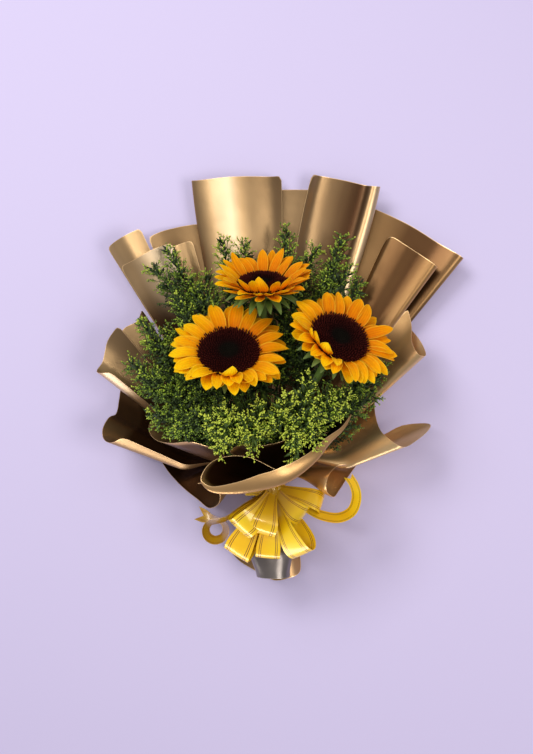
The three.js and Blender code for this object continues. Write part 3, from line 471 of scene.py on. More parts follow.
back_sheet(
    "paper_left_inner", 2, (-12.5, -7.8), folds=0.6, height=1.0, deep=(15, 85, 0.97),
    shade=(0.2, -0.1, -0.4, -0.6),
    edge=[[-31.3, 329, 44], [-27.9, 327, 52], [-23.9, 328, 54], [-19.6, 328, 46]])
back_sheet(
    "paper_left_side", 0, (-13.5, -19.2), folds=1.2, deep=(5, 45, 0.85), shade=(0.3, 0.4),
    edge=[[-32.4, 275, 30], [-33.4, 270, 34], [-35.5, 265, 38], [-38.6, 267, 40], [-43.1, 258, 40],
          [-46.9, 250, 38]])
back_sheet(
    "paper_left_flare", 1, (-15.6, -20.2), folds=1.0, height=1.2, deep=(20, 75, 0.85),
    shade=(0.5, 0.4, 0.3, 0.2, 0, -0.3, -0.3),
    edge=[[-39.1, 271, 66], [-43.4, 267, 60], [-46.2, 260, 57], [-48.6, 254, 58], [-51, 252, 64],
          [-51, 246, 73], [-48.6, 236, 79]])
back_sheet(
    "paper_left_cuff", 0, (-20, -27), folds=1.0, height=1.2, deep=(14, 34, 0.96),
    shade=(0.7, 0.85, 0.9, 0.85, 0.65, 0.4, 0.35, 0.3),
    edge=[[-50.7, 223, 24], [-54.8, 214, 28], [-58.9, 207, 38], [-61, 211, 50], [-64.3, 210, 60],
          [-67, 203, 70], [-67, 192, 80], [-63.4, 181, 87]])
back_sheet(
    "paper_right_flare", 2, (14.6, 18.6), folds=1.0, height=1.0, deep=(60, 120, 0.2), tint=0.6,
    shade=(-0.2, -0.2, -0.2, -0.4, -0.7, -0.9, -0.9, -0.7),
    edge=[[35.7, 285, 60], [38.8, 271, 67], [41.8, 255, 75], [44.8, 250, 81], [46.6, 255, 75],
          [44.4, 263, 62], [40.7, 268, 51], [37.2, 270, 44]])
back_sheet(
    "paper_right_cuff", 1, (17, 26.5), folds=1.0, height=1.0, deep=(40, 120, 0.2), tint=0.7,
    shade=(-0.4, -0.4, -0.4, -0.5, -0.7, -0.9, -0.9, -0.9, -0.8, -0.7),
    edge=[[42.7, 223, 22], [44.2, 205, 26], [46.7, 180, 36], [51.6, 166, 54], [58.1, 161, 74],
          [65.3, 171, 84], [66, 192, 73], [64, 216, 54], [61.9, 202, 40], [60.2, 185, 32]])
back_sheet(
    "paper_left_cornet", 0, (-28, -37), folds=1.0, height=0.8, tint=0.1, deep=(3, 26, 0.95),
    shade=(0.95, 0.95, 0.95, 0.95, 0.85, 0.2, -0.3, -0.3, 0),
    edge=[[-62, 150, 14], [-68, 135, 20], [-76, 108, 36], [-84, 80, 60], [-90, 63, 82],
          [-82, 53, 97], [-69, 55, 106], [-64, 72, 111], [-68, 84, 116]])
back_sheet(
    "paper_right_cornet", 0, (27.5, 37), folds=1.0, height=0.8, tint=0.6, deep=(3, 26, 0.2),
    shade=(-0.3, -0.3),
    edge=[[64, 134, 18], [68, 116, 32], [72.5, 100, 52], [77, 88, 74], [80, 79, 90],
          [72, 73, 101], [62, 80, 107], [58, 95, 111], [61, 109, 114]])


# ------------------------------------------------------------------ front papers
# Three sheets of the same paper leave the tie round the front of the stems and curl forward
# under the flowers. The foremost is turned back on itself into a long roll, its mouth dark with painted
# shade.
FRONT_COLUMNS = SHEET_COLUMNS + 16
NECK_ROWS, FRONT_ROWS, TURN_ROWS = 5, 29, 8
TURN_RISE = 0.45  # how high a folded band stands over the sheet
MOUTH_FROM, MOUTH_TO = 1.5, 9  # how far in from the edge a sheet's painted shade starts and is full
MOUTH_PAST_BAND = 1.3  # how much further that is where a band is folded in, as a share of the band


def arch(start, middle, end, t):
    """Points on a simple arch that sets out towards its middle point."""
    return (1 - t) ** 2 * start + 2 * t * (1 - t) * middle + t ** 2 * end


def front_sheet(name, level, neck, lean, edge, tint=0.0, turned_in=0.0, painted_shade=(0.0, 0.0)):
    """A sheet in front; turned_in is how wide a band folds inward at each point of its edge."""
    free = through(edge, FRONT_COLUMNS)
    band = np.interp(np.linspace(0, len(edge) - 1, len(free)), np.arange(len(edge)),
                     np.broadcast_to(turned_in, len(edge)))
    inward = np.cross(np.gradient(free, axis=0), [0, 0, 1.0])
    inward /= np.linalg.norm(inward, axis=1, keepdims=True)
    out = OVER_STEMS - TIE_HEIGHT + level * LAYER_STEP
    run = run_along(free)
    from_side = np.minimum(run, run[-1] - run)
    columns = []
    for k, end in enumerate(free):
        angle = math.radians(mix(neck[0], neck[1], k / (len(free) - 1)))
        low = np.array([out * math.cos(angle), NECK_START, TIE_HEIGHT + out * math.sin(angle)])
        high = low + [0, NECK_END - NECK_START, 0]
        toward = (end - high) / np.linalg.norm(end - high)
        end = end - toward * corner_trim(from_side[k])
        column = [mix(low, high, np.linspace(0, 1, NECK_ROWS + 1)[:-1, None]),
                  arch(high, mix(high, end, 0.5) + [0, lean, -lean / 2], end,
                       np.linspace(0, 1, FRONT_ROWS)[:, None])]
        if np.any(turned_in):
            turn = np.linspace(0, math.pi / 2, TURN_ROWS + 1)[1:, None]
            rise = np.array([0, 0, TURN_RISE]) * np.sin(turn)
            column.append(end + band[k] * (inward[k] * (1 - np.cos(turn)) + rise))
        columns.append(np.concatenate(column))
    grid = np.stack(columns, 1)
    to_edge = np.linalg.norm(grid - grid[-1:], axis=2)
    share = np.linspace(0, 1, grid.shape[0])[:, None]
    past = band[None, :] * MOUTH_PAST_BAND
    # Painted shade inside the mouth, growing in from the edge and past a folded band.
    dark = smooth(to_edge, MOUTH_FROM + past, MOUTH_TO + past)
    dress_sheet(name, grid, to_edge, from_side[None, :] * share, tint, [dark * side for side in painted_shade])


# The pair after the tint gives how much painted shade each face has inside its mouth.
front_sheet(
    "paper_inner_left", 0, (118, 205), 0, tint=0.2, painted_shade=(0.3, 0.9),
    edge=[[-60, 72, 120], [-84, 78, 114], [-108, 76, 104], [-126, 80, 91], [-134, 92, 79],
          [-128, 104, 69], [-116, 105, 65]])
front_sheet(
    "paper_inner_right", 0, (112, 55), 8, tint=0.3, painted_shade=(0.9, 0.5),
    edge=[[-41, 67, 112], [-28, 75, 118], [-8, 74, 122], [15, 78, 124], [37, 86, 122],
          [55, 84, 118], [74, 90, 108]])
front_sheet(
    "paper_front", 1, (30, 114), 12, tint=0.35, painted_shade=(0.97, 0.1),
    turned_in=[0.5, 4, 8, 13, 19, 18, 12, 6, 1, 0.5, 0.4, 0.4, 0.4, 0.4, 0.4],
    edge=[[100, 112, 104], [88, 92, 118], [72, 77, 129], [56, 58, 141], [27, 37, 152],
          [-3, 28, 156], [-36, 24, 158], [-60, 27, 156], [-70, 38, 150], [-65, 51, 143],
          [-54, 60, 137], [-34, 64, 133], [-14, 61, 131], [3, 53, 132], [19, 45, 133]])


# ------------------------------------------------------------------ handle
# Below the tie the lowest sheet sticks out behind the cut stems, and a piece of silver-grey
# satin paper is rolled once round them, its side lapping over itself.
HANDLE_EDGE = [[41, -48, 42], [42, -83, 20], [30, -94, 4.6], [12, -97, 1], [-7, -88, 1],
               [-30, -74, 5.6], [-47, -53, 22]]
HANDLE_NECK = (11.0, -10.0)
HANDLE_LOWER = 4  # how much nearer the stems' cut ends it starts than the other sheets
HANDLE_ROWS = 26
HANDLE_FOLDS, HANDLE_FOLD_HEIGHT = 1.6, 1.2

free = through(HANDLE_EDGE, SHEET_COLUMNS)
run = run_along(free)
from_side = np.minimum(run, run[-1] - run)
neck_x = np.linspace(*HANDLE_NECK, SHEET_COLUMNS + 1)
neck_z = layer_height(-1)
columns = []
for x, end, side in zip(neck_x, free, from_side):
    high = np.array([x, NECK_END - HANDLE_LOWER, neck_z])
    low = np.array([x * 1.2, NECK_START - HANDLE_LOWER, neck_z])
    end = end - (end - low) / np.linalg.norm(end - low) * corner_trim(side)
    columns.append(np.concatenate([mix(high, low, np.linspace(0, 1, NECK_ROWS + 1)[:-1, None]),
                                   mix(low, end, np.linspace(0, 1, HANDLE_ROWS)[:, None] ** 1.2)]))
grid = np.stack(columns, 1)
share = np.linspace(0, 1, len(grid))[:, None]
wave = waves(np.linspace(0, 1, grid.shape[1])[None, :], share, HANDLE_FOLDS, draws_for(3))
grid = grid + grid_normals(grid) * (HANDLE_FOLD_HEIGHT * smooth(share, 0.35, 0.9) * wave)[..., None]
grid[..., 2] = np.maximum(grid[..., 2], LOWEST)
# The handle paper is darkened evenly by painted shade on both faces.
dress_sheet("handle_paper", grid, np.linalg.norm(grid - grid[-1:], axis=2), from_side[None, :] * share,
            tint=0.25, painted_shade=(0.5, 0.5))

SILVER = satin_paper("satin_silver_paper", (0.27, 0.24, 0.22), (0.20, 0.175, 0.16), 0.85, 0.3)
SLEEVE_FROM, SLEEVE_TO = 9.0, -84.0
SLEEVE_TURN, SLEEVE_START = 392.0, -110.0
SLEEVE_LAP, SLEEVE_WIDE, SLEEVE_HIGH, SLEEVE_SHIFT = 1.3, 24.0, 14.6, 10.0
SLEEVE_ROUND = BUNCH_RADIUS + 1.2
SLEEVE_ROWS, SLEEVE_SIDES = 40, 110
CREASES, CREASE_DEEP = 9, 0.35
share = np.linspace(0, 1, SLEEVE_ROWS)[:, None]
part = np.linspace(0, 1, SLEEVE_SIDES)[None, :]
angle = np.radians(SLEEVE_START + SLEEVE_TURN * part)
wide = mix(SLEEVE_ROUND, SLEEVE_WIDE, smooth(share, 0, 0.7)) * (1 - 0.22 * smooth(share, 0.7, 1))
high = mix(SLEEVE_ROUND, SLEEVE_HIGH, share)
out = SLEEVE_LAP * part
crease = CREASE_DEEP * np.sin(CREASES * angle + 5 * share)
crease = crease * smooth(share, 0.02, 0.2) * (1 - smooth(share, 0.5, 0.95))
grid = np.stack([(wide + out + crease) * np.cos(angle) + SLEEVE_SHIFT * share,
                 np.broadcast_to(mix(SLEEVE_FROM, SLEEVE_TO, share), crease.shape),
                 TIE_HEIGHT + (high + out + crease) * np.sin(angle)], 2)
rim = np.broadcast_to((1 - share) * (SLEEVE_FROM - SLEEVE_TO), crease.shape).ravel()
points, faces = two_sided(grid, SHEET_THICK)
sleeve = mesh_object("handle_sleeve", points, faces, SILVER, {"rim": np.tile(rim, 2)})
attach(sleeve, "root")
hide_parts("handle_sleeve")


# ------------------------------------------------------------------ bands at the tie
# An elastic band wound five times holds the stems; a flat yellow ribbon goes round the necks
# of the sheets above it. Both are mostly hidden by the bow.
def join(parts):
    """One set of points, faces and values from several."""
    points, faces, values, first = [], [], {}, 0
    for part_points, part_faces, part_values in parts:
        points.append(part_points)
        faces.extend([[i + first for i in face] for face in part_faces])
        for key, value in part_values.items():
            values.setdefault(key, []).append(np.broadcast_to(value, len(part_points)))
        first += len(part_points)
    return np.concatenate(points), faces, {k: np.concatenate(v) for k, v in values.items()}


def ring_faces(rows, sides, caps=False):
    """Faces between closed rings. Caps close both ends; without them the last ring meets the first."""
    at = np.arange(rows * sides).reshape(rows, sides)
    below = at[:-1] if caps else at
    above = at[1:] if caps else np.roll(at, -1, axis=0)
    quads = np.stack([below, np.roll(below, -1, axis=1), np.roll(above, -1, axis=1), above], -1)
    ends = [at[0, ::-1].tolist(), at[-1].tolist()] if caps else []
    return quads.reshape(-1, 4).tolist() + ends


def outline_band(name, loop, outward, profile, material, values=None):
    """A closed band: a small closed profile (across, out) carried round a loop in X and Z."""
    profile = np.asarray(profile, float)
    grid = np.zeros((len(profile), len(loop), 3))
    grid[..., 0] = loop[None, :, 0] + outward[None, :, 0] * profile[:, 1:2]
    grid[..., 2] = loop[None, :, 1] + outward[None, :, 1] * profile[:, 1:2]
    grid[..., 1] = profile[:, 0:1]
    faces = ring_faces(len(profile), len(loop))
    spread = {k: np.repeat(v, len(loop)) for k, v in (values or {}).items()}
    piece = mesh_object(name, grid.reshape(-1, 3), faces, material, spread, sharp=55)
    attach(piece, "root")
    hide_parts(name)


ELASTIC_TURNS, SCALLOP_STEPS, BAND_SIDES = 5, 8, 72
BAND_INSIDE, BAND_THICK = 13.55, 1.1
BAND_FROM, BAND_TO = 17.0, 27.0

ELASTIC, shader = new_material("elastic")
tan = ramp(shader, noise(shader, 220.0, 3.0), [(0.3, (0.20, 0.11, 0.05)), (0.7, (0.31, 0.18, 0.085))])
woven = bump(shader, noise(shader, 900.0, 2.0), 0.3, 0.0003)
wire(shader, {"Base Color": tan, "Roughness": 0.62, "Normal": woven})

turns = np.linspace(0, 2 * math.pi, BAND_SIDES, endpoint=False)
circle = np.stack([np.cos(turns), np.sin(turns)], 1)
loop = circle * BAND_INSIDE + [0, TIE_HEIGHT]
over = np.linspace(0, 1, ELASTIC_TURNS * SCALLOP_STEPS + 1)
scallop = BAND_THICK * (0.5 + 0.5 * np.abs(np.sin(over * math.pi * ELASTIC_TURNS)) ** 0.6)
profile = np.concatenate([np.stack([mix(BAND_FROM, BAND_TO, over), scallop], 1),
                          [[BAND_TO, 0.0], [BAND_FROM, 0.0]]])
outline_band("stem_band", loop, circle, profile[::-1], ELASTIC)


def reckon(shader, operation, *values):
    """A value worked out from others."""
    return add_node(shader, "Math", dict(enumerate(values)), operation=operation).outputs[0]


RIBBON_LINES, LINE_HALF = (0.60, 0.74), 0.028  # the brown lines, as shares of half its width
RIBS = 90.0


def ribbon_material():
    """Glossy yellow ribbon with painted shade round the knot, ribbed along it, with two pairs of brown lines.
    """
    material, shader = new_material("yellow_ribbon")
    across = field(shader, "across")
    base = ramp(shader, noise(shader, 30.0, 2.0), [(0.3, (0.92, 0.53, 0.003)), (0.7, (0.98, 0.68, 0.008))])
    # Painted shade: the yellow is mixed towards a dark orange-brown round the knot and along the shaded tail.
    with_painted_shade = blend(shader, field(shader, "ribbon_painted_shade"), base, (0.30, 0.15, 0.004, 1))
    side = reckon(shader, "ABSOLUTE", across)
    lines = [reckon(shader, "COMPARE", side, where, LINE_HALF) for where in RIBBON_LINES]
    printed = blend(shader, reckon(shader, "MAXIMUM", *lines), with_painted_shade, (0.24, 0.075, 0.012, 1))
    ribs = reckon(shader, "SINE", reckon(shader, "MULTIPLY", across, RIBS))
    fine = bump(shader, ribs, 0.12, 0.0002)
    wire(shader, {"Base Color": printed, "Roughness": 0.30, "Metallic": 0.1, "Coat Weight": 0.8,
                  "Coat Roughness": 0.1, "Normal": bump(shader, noise(shader, 45.0, 2.0), 0.25, 0.001, fine)})
    return material


RIBBON = ribbon_material()
RIBBON_THICK = 0.8
RIBBON_HALF, RIBBON_CORNER = 23.0, 5.0
RIBBON_MIDDLE, RIBBON_REACH = 20, 7  # along the bunch
SEAT_GAP = 0.35
ribbon_bottom = layer_height(-1) - PAPER_THICK / 2 - SEAT_GAP
ribbon_top = OVER_STEMS + LAYER_STEP + PAPER_THICK / 2 + SEAT_GAP

loop, outward = [], []
for right, start in ((1, 0), (-1, 90), (-1, 180), (1, 270)):
    level = ribbon_top - RIBBON_CORNER if start < 180 else ribbon_bottom + RIBBON_CORNER
    for step in np.linspace(0, 90, 9):
        angle = math.radians(start + step)
        outward.append([math.cos(angle), math.sin(angle)])
        loop.append([right * (RIBBON_HALF - RIBBON_CORNER) + RIBBON_CORNER * math.cos(angle),
                     level + RIBBON_CORNER * math.sin(angle)])
over = np.linspace(-1, 1, 9)
crown = 0.45 + 0.35 * (1 - over ** 2)
profile = np.concatenate([np.stack([RIBBON_MIDDLE + RIBBON_REACH * over, crown], 1),
                          np.stack([RIBBON_MIDDLE + RIBBON_REACH * over[::-1], 0 * over], 1)])
outline_band("ribbon_band", np.array(loop), np.array(outward), profile[::-1], RIBBON,
             {"across": np.concatenate([over, over[::-1]])[::-1]})


# ------------------------------------------------------------------ pull bow
# The loops of a pull bow, all drawn together at one knot and spread under the front papers,
# with a curled tail on the right and a fork-cut tail on the left.
KNOT_RADIUS = 9.0
KNOT = np.array([10.0, 22.0, ribbon_top + RIBBON_THICK + SEAT_GAP + KNOT_RADIUS])
LOOPS = [  # direction in plan, slope, length, height of the opening, twist, width
    (241, -6, 90, 20, 14, 33), (265, 0, 80, 20, 2, 28), (228, 15, 62, 30, -10, 31),
    (254, 18, 54, 30, -2, 31), (295, 7, 82, 26, 34, 31), (320, 16, 47, 24, 16, 26),
    (343, 6, 58, 20, -24, 24),
]
LOOP_NECK, LOOP_STEPS = 13.0, 44  # the ribbon's width where a loop leaves the knot
LOOP_GAP = 0.04  # how much of a half turn is open at each end of a loop
BOW_CROWN, BOW_THICK, STRIP_COLUMNS, FORK_ROWS = 0.5, 0.35, 11, 6
KNOT_SHADE_FROM, KNOT_SHADE_TO = 10, 56  # how far from the knot's middle the ribbon carries painted shade
RIGHT_TAIL = [(14, 20, 80), (44, 2, 86), (66, -8, 86), (85, -10, 88), (99, -2, 92),
              (104, 14, 95), (101, 28, 98), (94, 39, 100)]
CURL_MIDDLE, CURL_RADIUS = (-57.0, -27.0), 11.5
CURL_FROM, CURL_TO, CURL_STEPS = 0.45, 2.45, 9  # in half turns
CURL_HEIGHT, CURL_DROP = 78, 14
TAIL_NECK, TAIL_WIDE = 8, 17
LEFT_TAIL_START = [(6, 20, 78), (-22, 4, 76), (-44, -12, 78)]
LEFT_TAIL_END = [(-67, -13, 62), (-80, -8, 60)]


def turned(vector, axis, angle):
    """A vector turned about an axis by an angle in radians."""
    c, s = math.cos(angle), math.sin(angle)
    return vector * c + np.cross(axis, vector) * s + axis * np.dot(axis, vector) * (1 - c)


def strip(spine, widths, sideways, fork=0.0, tail_painted_shade=0.0):
    """A ribbon along a spine: a gently crowned closed strip, its end cut to a fork where asked.
    The last argument is how much painted shade it carries away from the knot."""
    over = np.linspace(-1, 1, STRIP_COLUMNS)
    along = np.gradient(spine, axis=0)
    along /= np.linalg.norm(along, axis=1, keepdims=True)
    sideways = np.broadcast_to(sideways, spine.shape)
    face = np.cross(along, sideways)
    face /= np.linalg.norm(face, axis=1, keepdims=True)
    reach = (np.asarray(widths)[:, None] / 2 * over[None, :])[..., None]
    grid = (spine[:, None, :] + reach * sideways[:, None, :]
            + face[:, None, :] * (BOW_CROWN * (1 - over ** 2))[None, :, None])
    if fork:
        last = smooth(np.arange(len(spine)), len(spine) - FORK_ROWS, len(spine) - 1)[:, None]
        grid = grid - along[:, None, :] * (last * fork * (1 - np.abs(over))[None, :])[..., None]
    points, faces = two_sided(grid, BOW_THICK)
    # Painted shade round the knot, fading out with distance from it.
    ribbon_painted_shade = 0.6 * (1 - smooth(np.linalg.norm(points - KNOT, axis=1), KNOT_SHADE_FROM, KNOT_SHADE_TO))
    return points, faces, {"across": np.tile(np.broadcast_to(over, grid.shape[:2]).ravel(), 2),
                           "ribbon_painted_shade": np.maximum(ribbon_painted_shade, tail_painted_shade)}


parts = []
for plan, slope, length, opening, twist, wide in LOOPS:
    plan, slope, twist = map(math.radians, (plan, slope, twist))
    out = np.array([math.cos(plan) * math.cos(slope), math.sin(plan) * math.cos(slope), math.sin(slope)])
    side = np.cross([0, 0, 1], out)
    side = turned(side / np.linalg.norm(side), out, twist)
    lift = np.cross(out, side)
    share = np.linspace(0, 1, LOOP_STEPS)
    turn = mix(LOOP_GAP, 1 - LOOP_GAP, share) * math.pi
    spine = (KNOT + out * (length * np.sin(turn))[:, None]
             + lift * (opening / 2 * np.sin(2 * turn))[:, None])
    widths = mix(LOOP_NECK, wide, smooth(np.minimum(share, 1 - share) * 6, 0, 2))
    parts.append(strip(spine, widths, side))
curl = [(CURL_MIDDLE[0] + CURL_RADIUS * math.cos(t), CURL_MIDDLE[1] + CURL_RADIUS * math.sin(t),
         CURL_HEIGHT - CURL_DROP * (t - 0.25 * math.pi) / (2 * math.pi))
        for t in np.linspace(CURL_FROM, CURL_TO, CURL_STEPS) * math.pi]
# The left tail lies in shade and is given painted shade all along it.
TAILS = [  # line, steps, tilt, tilt at the end, how deep the fork is cut, how much painted shade
    (LEFT_TAIL_START + curl + LEFT_TAIL_END, 90, 62, 15, 9.0, 0.8), (RIGHT_TAIL, 60, 55, 55, 5.0, 0.0),
]
for line, steps, tilt, tilt_at_end, fork, tail_painted_shade in TAILS:
    spine = through(line, steps)
    share = np.arange(steps + 1) / steps
    lean = np.radians(mix(tilt, tilt_at_end, smooth(share, 0.86, 0.97)))
    side = np.cross(np.gradient(spine, axis=0), [0, 0, 1.0])
    side = side / np.linalg.norm(side, axis=1, keepdims=True) * np.cos(lean)[:, None]
    side[:, 2] = np.sin(lean)
    parts.append(strip(spine, mix(TAIL_NECK, TAIL_WIDE, smooth(share, 0, 0.3)), side, fork, tail_painted_shade))
KNOT_SIDES, KNOT_ROWS, KNOT_PLEATS, PLEAT_DEEP = 48, 20, 12, 0.07
around, level = np.meshgrid(np.linspace(0, 2 * math.pi, KNOT_SIDES, endpoint=False),
                            np.linspace(0.02, 0.98, KNOT_ROWS) * math.pi)
pinch = 1 + PLEAT_DEEP * np.sin(KNOT_PLEATS * around) * np.sin(level)
ball = np.stack([KNOT_RADIUS * np.sin(level) * np.cos(around) * pinch,
                 -KNOT_RADIUS * np.cos(level) * 0.98,
                 KNOT_RADIUS * np.sin(level) * np.sin(around) * pinch], 2) + KNOT
# The knot, under the front papers, is given painted shade.
parts.append((ball.reshape(-1, 3), ring_faces(*around.shape, caps=True), {"across": 0.0, "ribbon_painted_shade": 0.75}))
points, faces, values = join(parts)
bow = mesh_object("ribbon_bow", points, faces, RIBBON, values)
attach(bow, "root")
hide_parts("ribbon_bow")


# ------------------------------------------------------------------ sunflower heads: rays
# Three rows of golden rays stand round each disc. Every ray is a thin grooved blade, narrow at
# the claw, orange at the base and yellow at the paler rim, and each one bends its own way.

# Head is the middle of the disc, tilt how far it leans from facing straight up, toward the bearing it
# leans to, slot the stem's place at the tie, front the bearing of the nearest rays, and curl how far
# those turn up, row by row. Rays are counted in one row of three, and yellow is how yellow they are.
FLOWERS = {
    "left": dict(head=(-40, 178, 130), tilt=40, toward=90, radius=66, disc=33.5, slot=(-4.3, 52.4),
                 rays=18, front=262, curl=(26, 24, 17), lift=17, droop=18, seed=1, yellow=0.55),
    "right": dict(head=(82, 193, 134), tilt=42, toward=62, radius=62, disc=32.5, slot=(4.3, 52.4),
                  rays=17, front=222, curl=(40, 30, 20), lift=17, droop=16, seed=2, yellow=0.4),
    "top": dict(head=(-2, 254, 110), tilt=61, toward=90, radius=57, disc=27, slot=(0, 45),
                rays=16, front=268, curl=(20, -4, -14), lift=38, droop=2, seed=3, yellow=0.22),
}
RAY_WIDE, RAY_WIDE_AT_DISC = 15.0, 33.5  # smaller discs have narrower rays
FAR_RAYS_LONGER, NEAR_RAYS_SHORTER = 0.15, 0.1
ROW_LOWER, ROW_TILT = (1.0, 2.1, 3.3), (0, 7, 14)  # of each row of rays, in mm and degrees
BASE_TOP, BASE_THICK, BASE_SIDES = -0.35, 2.4, 48
PETAL_ROWS, PETAL_COLUMNS = 16, 9
PETAL_THICK = 0.4
WIDEST, CLAW_WIDTH, TIP_WIDTH = 0.45, 0.55, 0.05  # where a ray is widest, and its ends' widths
PAINTED_LIGHT_SIDE = 225  # the bearing on a disc whose rays are painted yellowest, as the lit side


def flower_axes(flower):
    """A flower's own axes as rows; the last is the way that it faces."""
    tilt, toward = math.radians(flower["tilt"]), math.radians(flower["toward"])
    axis = np.array([math.sin(tilt) * math.cos(toward), math.sin(tilt) * math.sin(toward), math.cos(tilt)])
    x = np.array([1.0, 0, 0]) - axis * axis[0]
    x /= np.linalg.norm(x)
    return np.stack([x, np.cross(axis, x), axis])


def petal_draws(seed):
    """The same sequence of draws as the solids' rays have."""
    state = seed * 7919 + 13
    while True:
        state = (state * 16807) % 2147483647
        yield state / 2147483647


def bent_line(start, rise, step, slope):
    """How far out and how high a blade runs, from its slopes at even steps."""
    reach = start + np.concatenate([[0], np.cumsum(step * np.cos(slope[1:]))])
    return reach, rise + np.concatenate([[0], np.cumsum(step * np.sin(slope[1:]))])


def petal(flower, degrees, row, length, lift, droop, draw, tip=0.0):
    """One ray in the flower's own axes; tip is how far its end turns up, in radians."""
    wide = RAY_WIDE * flower["disc"] / RAY_WIDE_AT_DISC * mix(0.88, 1.2, draw.random())
    share = np.linspace(0, 1, PETAL_ROWS)
    slope = lift - 1.6 * droop * smooth(share, 0.2, 0.8)
    slope += (tip + math.radians(draw.normal(0, 14))) * smooth(share, WIDEST, 1.0)
    start = flower["disc"] * 0.9
    step = (length + flower["disc"] - start) / (PETAL_ROWS - 1)
    reach, rise = bent_line(start, BASE_TOP - ROW_LOWER[row], step, slope)
    past = np.clip((share - WIDEST) / (1 - WIDEST), 0, 1)
    claw = mix(CLAW_WIDTH, 1.0, smooth(share, -0.1, WIDEST))
    width = wide * np.maximum(np.where(share < WIDEST, claw, (1 - past ** 2.5) ** 0.72), TIP_WIDTH)
    over = np.linspace(-1, 1, PETAL_COLUMNS)
    cup = mix(0.20, 0.34, draw.random()) * width[:, None] * 0.5 * (over ** 2)[None, :]
    deepest = 0.42 * smooth(share, 0.02, 0.3) * (1 - smooth(share, 0.75, 1))
    groove = deepest[:, None] * np.cos(over * math.pi * 2.4)[None, :]
    wavy = 0.5 * (over ** 3)[None, :] * np.sin(share * 9 + draw.random() * 6)[:, None]
    up = cup + groove + wavy * smooth(share, 0.2, 0.6)[:, None]
    swing = math.radians(draw.normal(0, 5)) * share
    twist = math.radians(draw.normal(0, 10)) * share[:, None]
    along = math.radians(degrees) + swing
    out = np.stack([np.cos(along), np.sin(along), 0 * along], 1)
    side = np.stack([-np.sin(along), np.cos(along), 0 * along], 1)
    face = -out * np.sin(slope)[:, None]
    face[:, 2] = np.cos(slope)
    sideways = over[None, :] * width[:, None] / 2
    grid = (out * reach[:, None])[:, None, :] + np.array([0, 0, 1.0]) * rise[:, None, None]
    grid = grid + side[:, None, :] * (sideways * np.cos(twist) - up * np.sin(twist))[..., None]
    grid = grid + face[:, None, :] * (sideways * np.sin(twist) + up * np.cos(twist))[..., None]
    thick = PETAL_THICK * mix(1.5, 1.0, share)[:, None] * (1 - 0.5 * over ** 2)[None, :]
    points, faces = two_sided(grid, thick)
    edge = np.maximum(np.abs(over)[None, :], smooth(share, 0.86, 1)[:, None])
    # Painted light: rays on the lit side are painted yellower and far ones more orange, over the flower's own
    # yellow.
    tone = flower["yellow"] + 0.5 * math.cos(math.radians(degrees - PAINTED_LIGHT_SIDE)) + draw.normal(0, 0.13)
    return points, faces, {"along": np.tile(np.repeat(share, PETAL_COLUMNS), 2),
                           "side": np.tile(edge.ravel(), 2), "tone": tone}


RAY_ORANGE = [(0.0, (0.36, 0.06, 0.001)), (0.25, (0.74, 0.185, 0.001)), (0.6, (0.88, 0.265, 0.001)),
              (1.0, (0.95, 0.36, 0.001))]
RAY_YELLOW = [(0.0, (0.60, 0.13, 0.001)), (0.25, (0.93, 0.36, 0.001)), (0.6, (1.0, 0.50, 0.001)),
              (1.0, (1.0, 0.62, 0.003))]
VEINS = 17.0


def petal_material():
    """Golden rays: orange at the base, yellow at the paler rim, finely veined and mottled."""
    material, shader = new_material("sunflower_ray")
    along, side = field(shader, "along"), field(shader, "side")
    orange, yellow = ramp(shader, along, RAY_ORANGE), ramp(shader, along, RAY_YELLOW)
    # The tone mixes orange and yellow; the part set by bearing is painted light.
    hue = blend(shader, field(shader, "tone"), orange, yellow)
    pale = spread_out(shader, side, 0.78, 1.0, 0.0, 0.5, "SMOOTHSTEP")
    rim = blend(shader, pale, hue, (0.95, 0.55, 0.03, 1))
    wave = reckon(shader, "COSINE", reckon(shader, "MULTIPLY", side, VEINS))
    veins = ramp(shader, wave, [(0.0, (1, 1, 1)), (0.9, (0.84, 0.62, 0.4))])
    spots = ramp(shader, noise(shader, 170.0, 4.0), [(0.3, (0.78, 0.66, 0.5)), (0.65, (1, 1, 1))])
    mottled = blend(shader, 0.35, blend(shader, 0.45, rim, veins, "MULTIPLY"), spots, "MULTIPLY")
    wire(shader, {"Base Color": mottled, "Roughness": 0.6, "Specular IOR Level": 0.06,
                  "Subsurface Weight": 0.3, "Subsurface Radius": (0.006, 0.003, 0.0004),
                  "Subsurface Scale": 0.6, "Normal": bump(shader, noise(shader, 420.0, 3.0), 0.25, 0.0005)})
    return material


RAY = petal_material()
# How far the ends of some rays turn up over the disc, or below zero down, in degrees.
FOLDED = {("left", 39): 100, ("left", 43): 45, ("right", 27): 55, ("right", 30): 45, ("right", 33): 60,
          ("right", 38): -70, ("top", 36): 45, ("top", 39): 30, ("top", 42): 45}


def plate(radius, top, under):
    """The thin receptacle that the rays grow on: a closed round plate."""
    angle = np.linspace(0, 2 * math.pi, BASE_SIDES, endpoint=False)
    ring = np.stack([radius * np.cos(angle), radius * np.sin(angle), 0 * angle], 1)
    return np.concatenate([ring + [0, 0, under], ring + [0, 0, top]]), ring_faces(2, BASE_SIDES, caps=True)


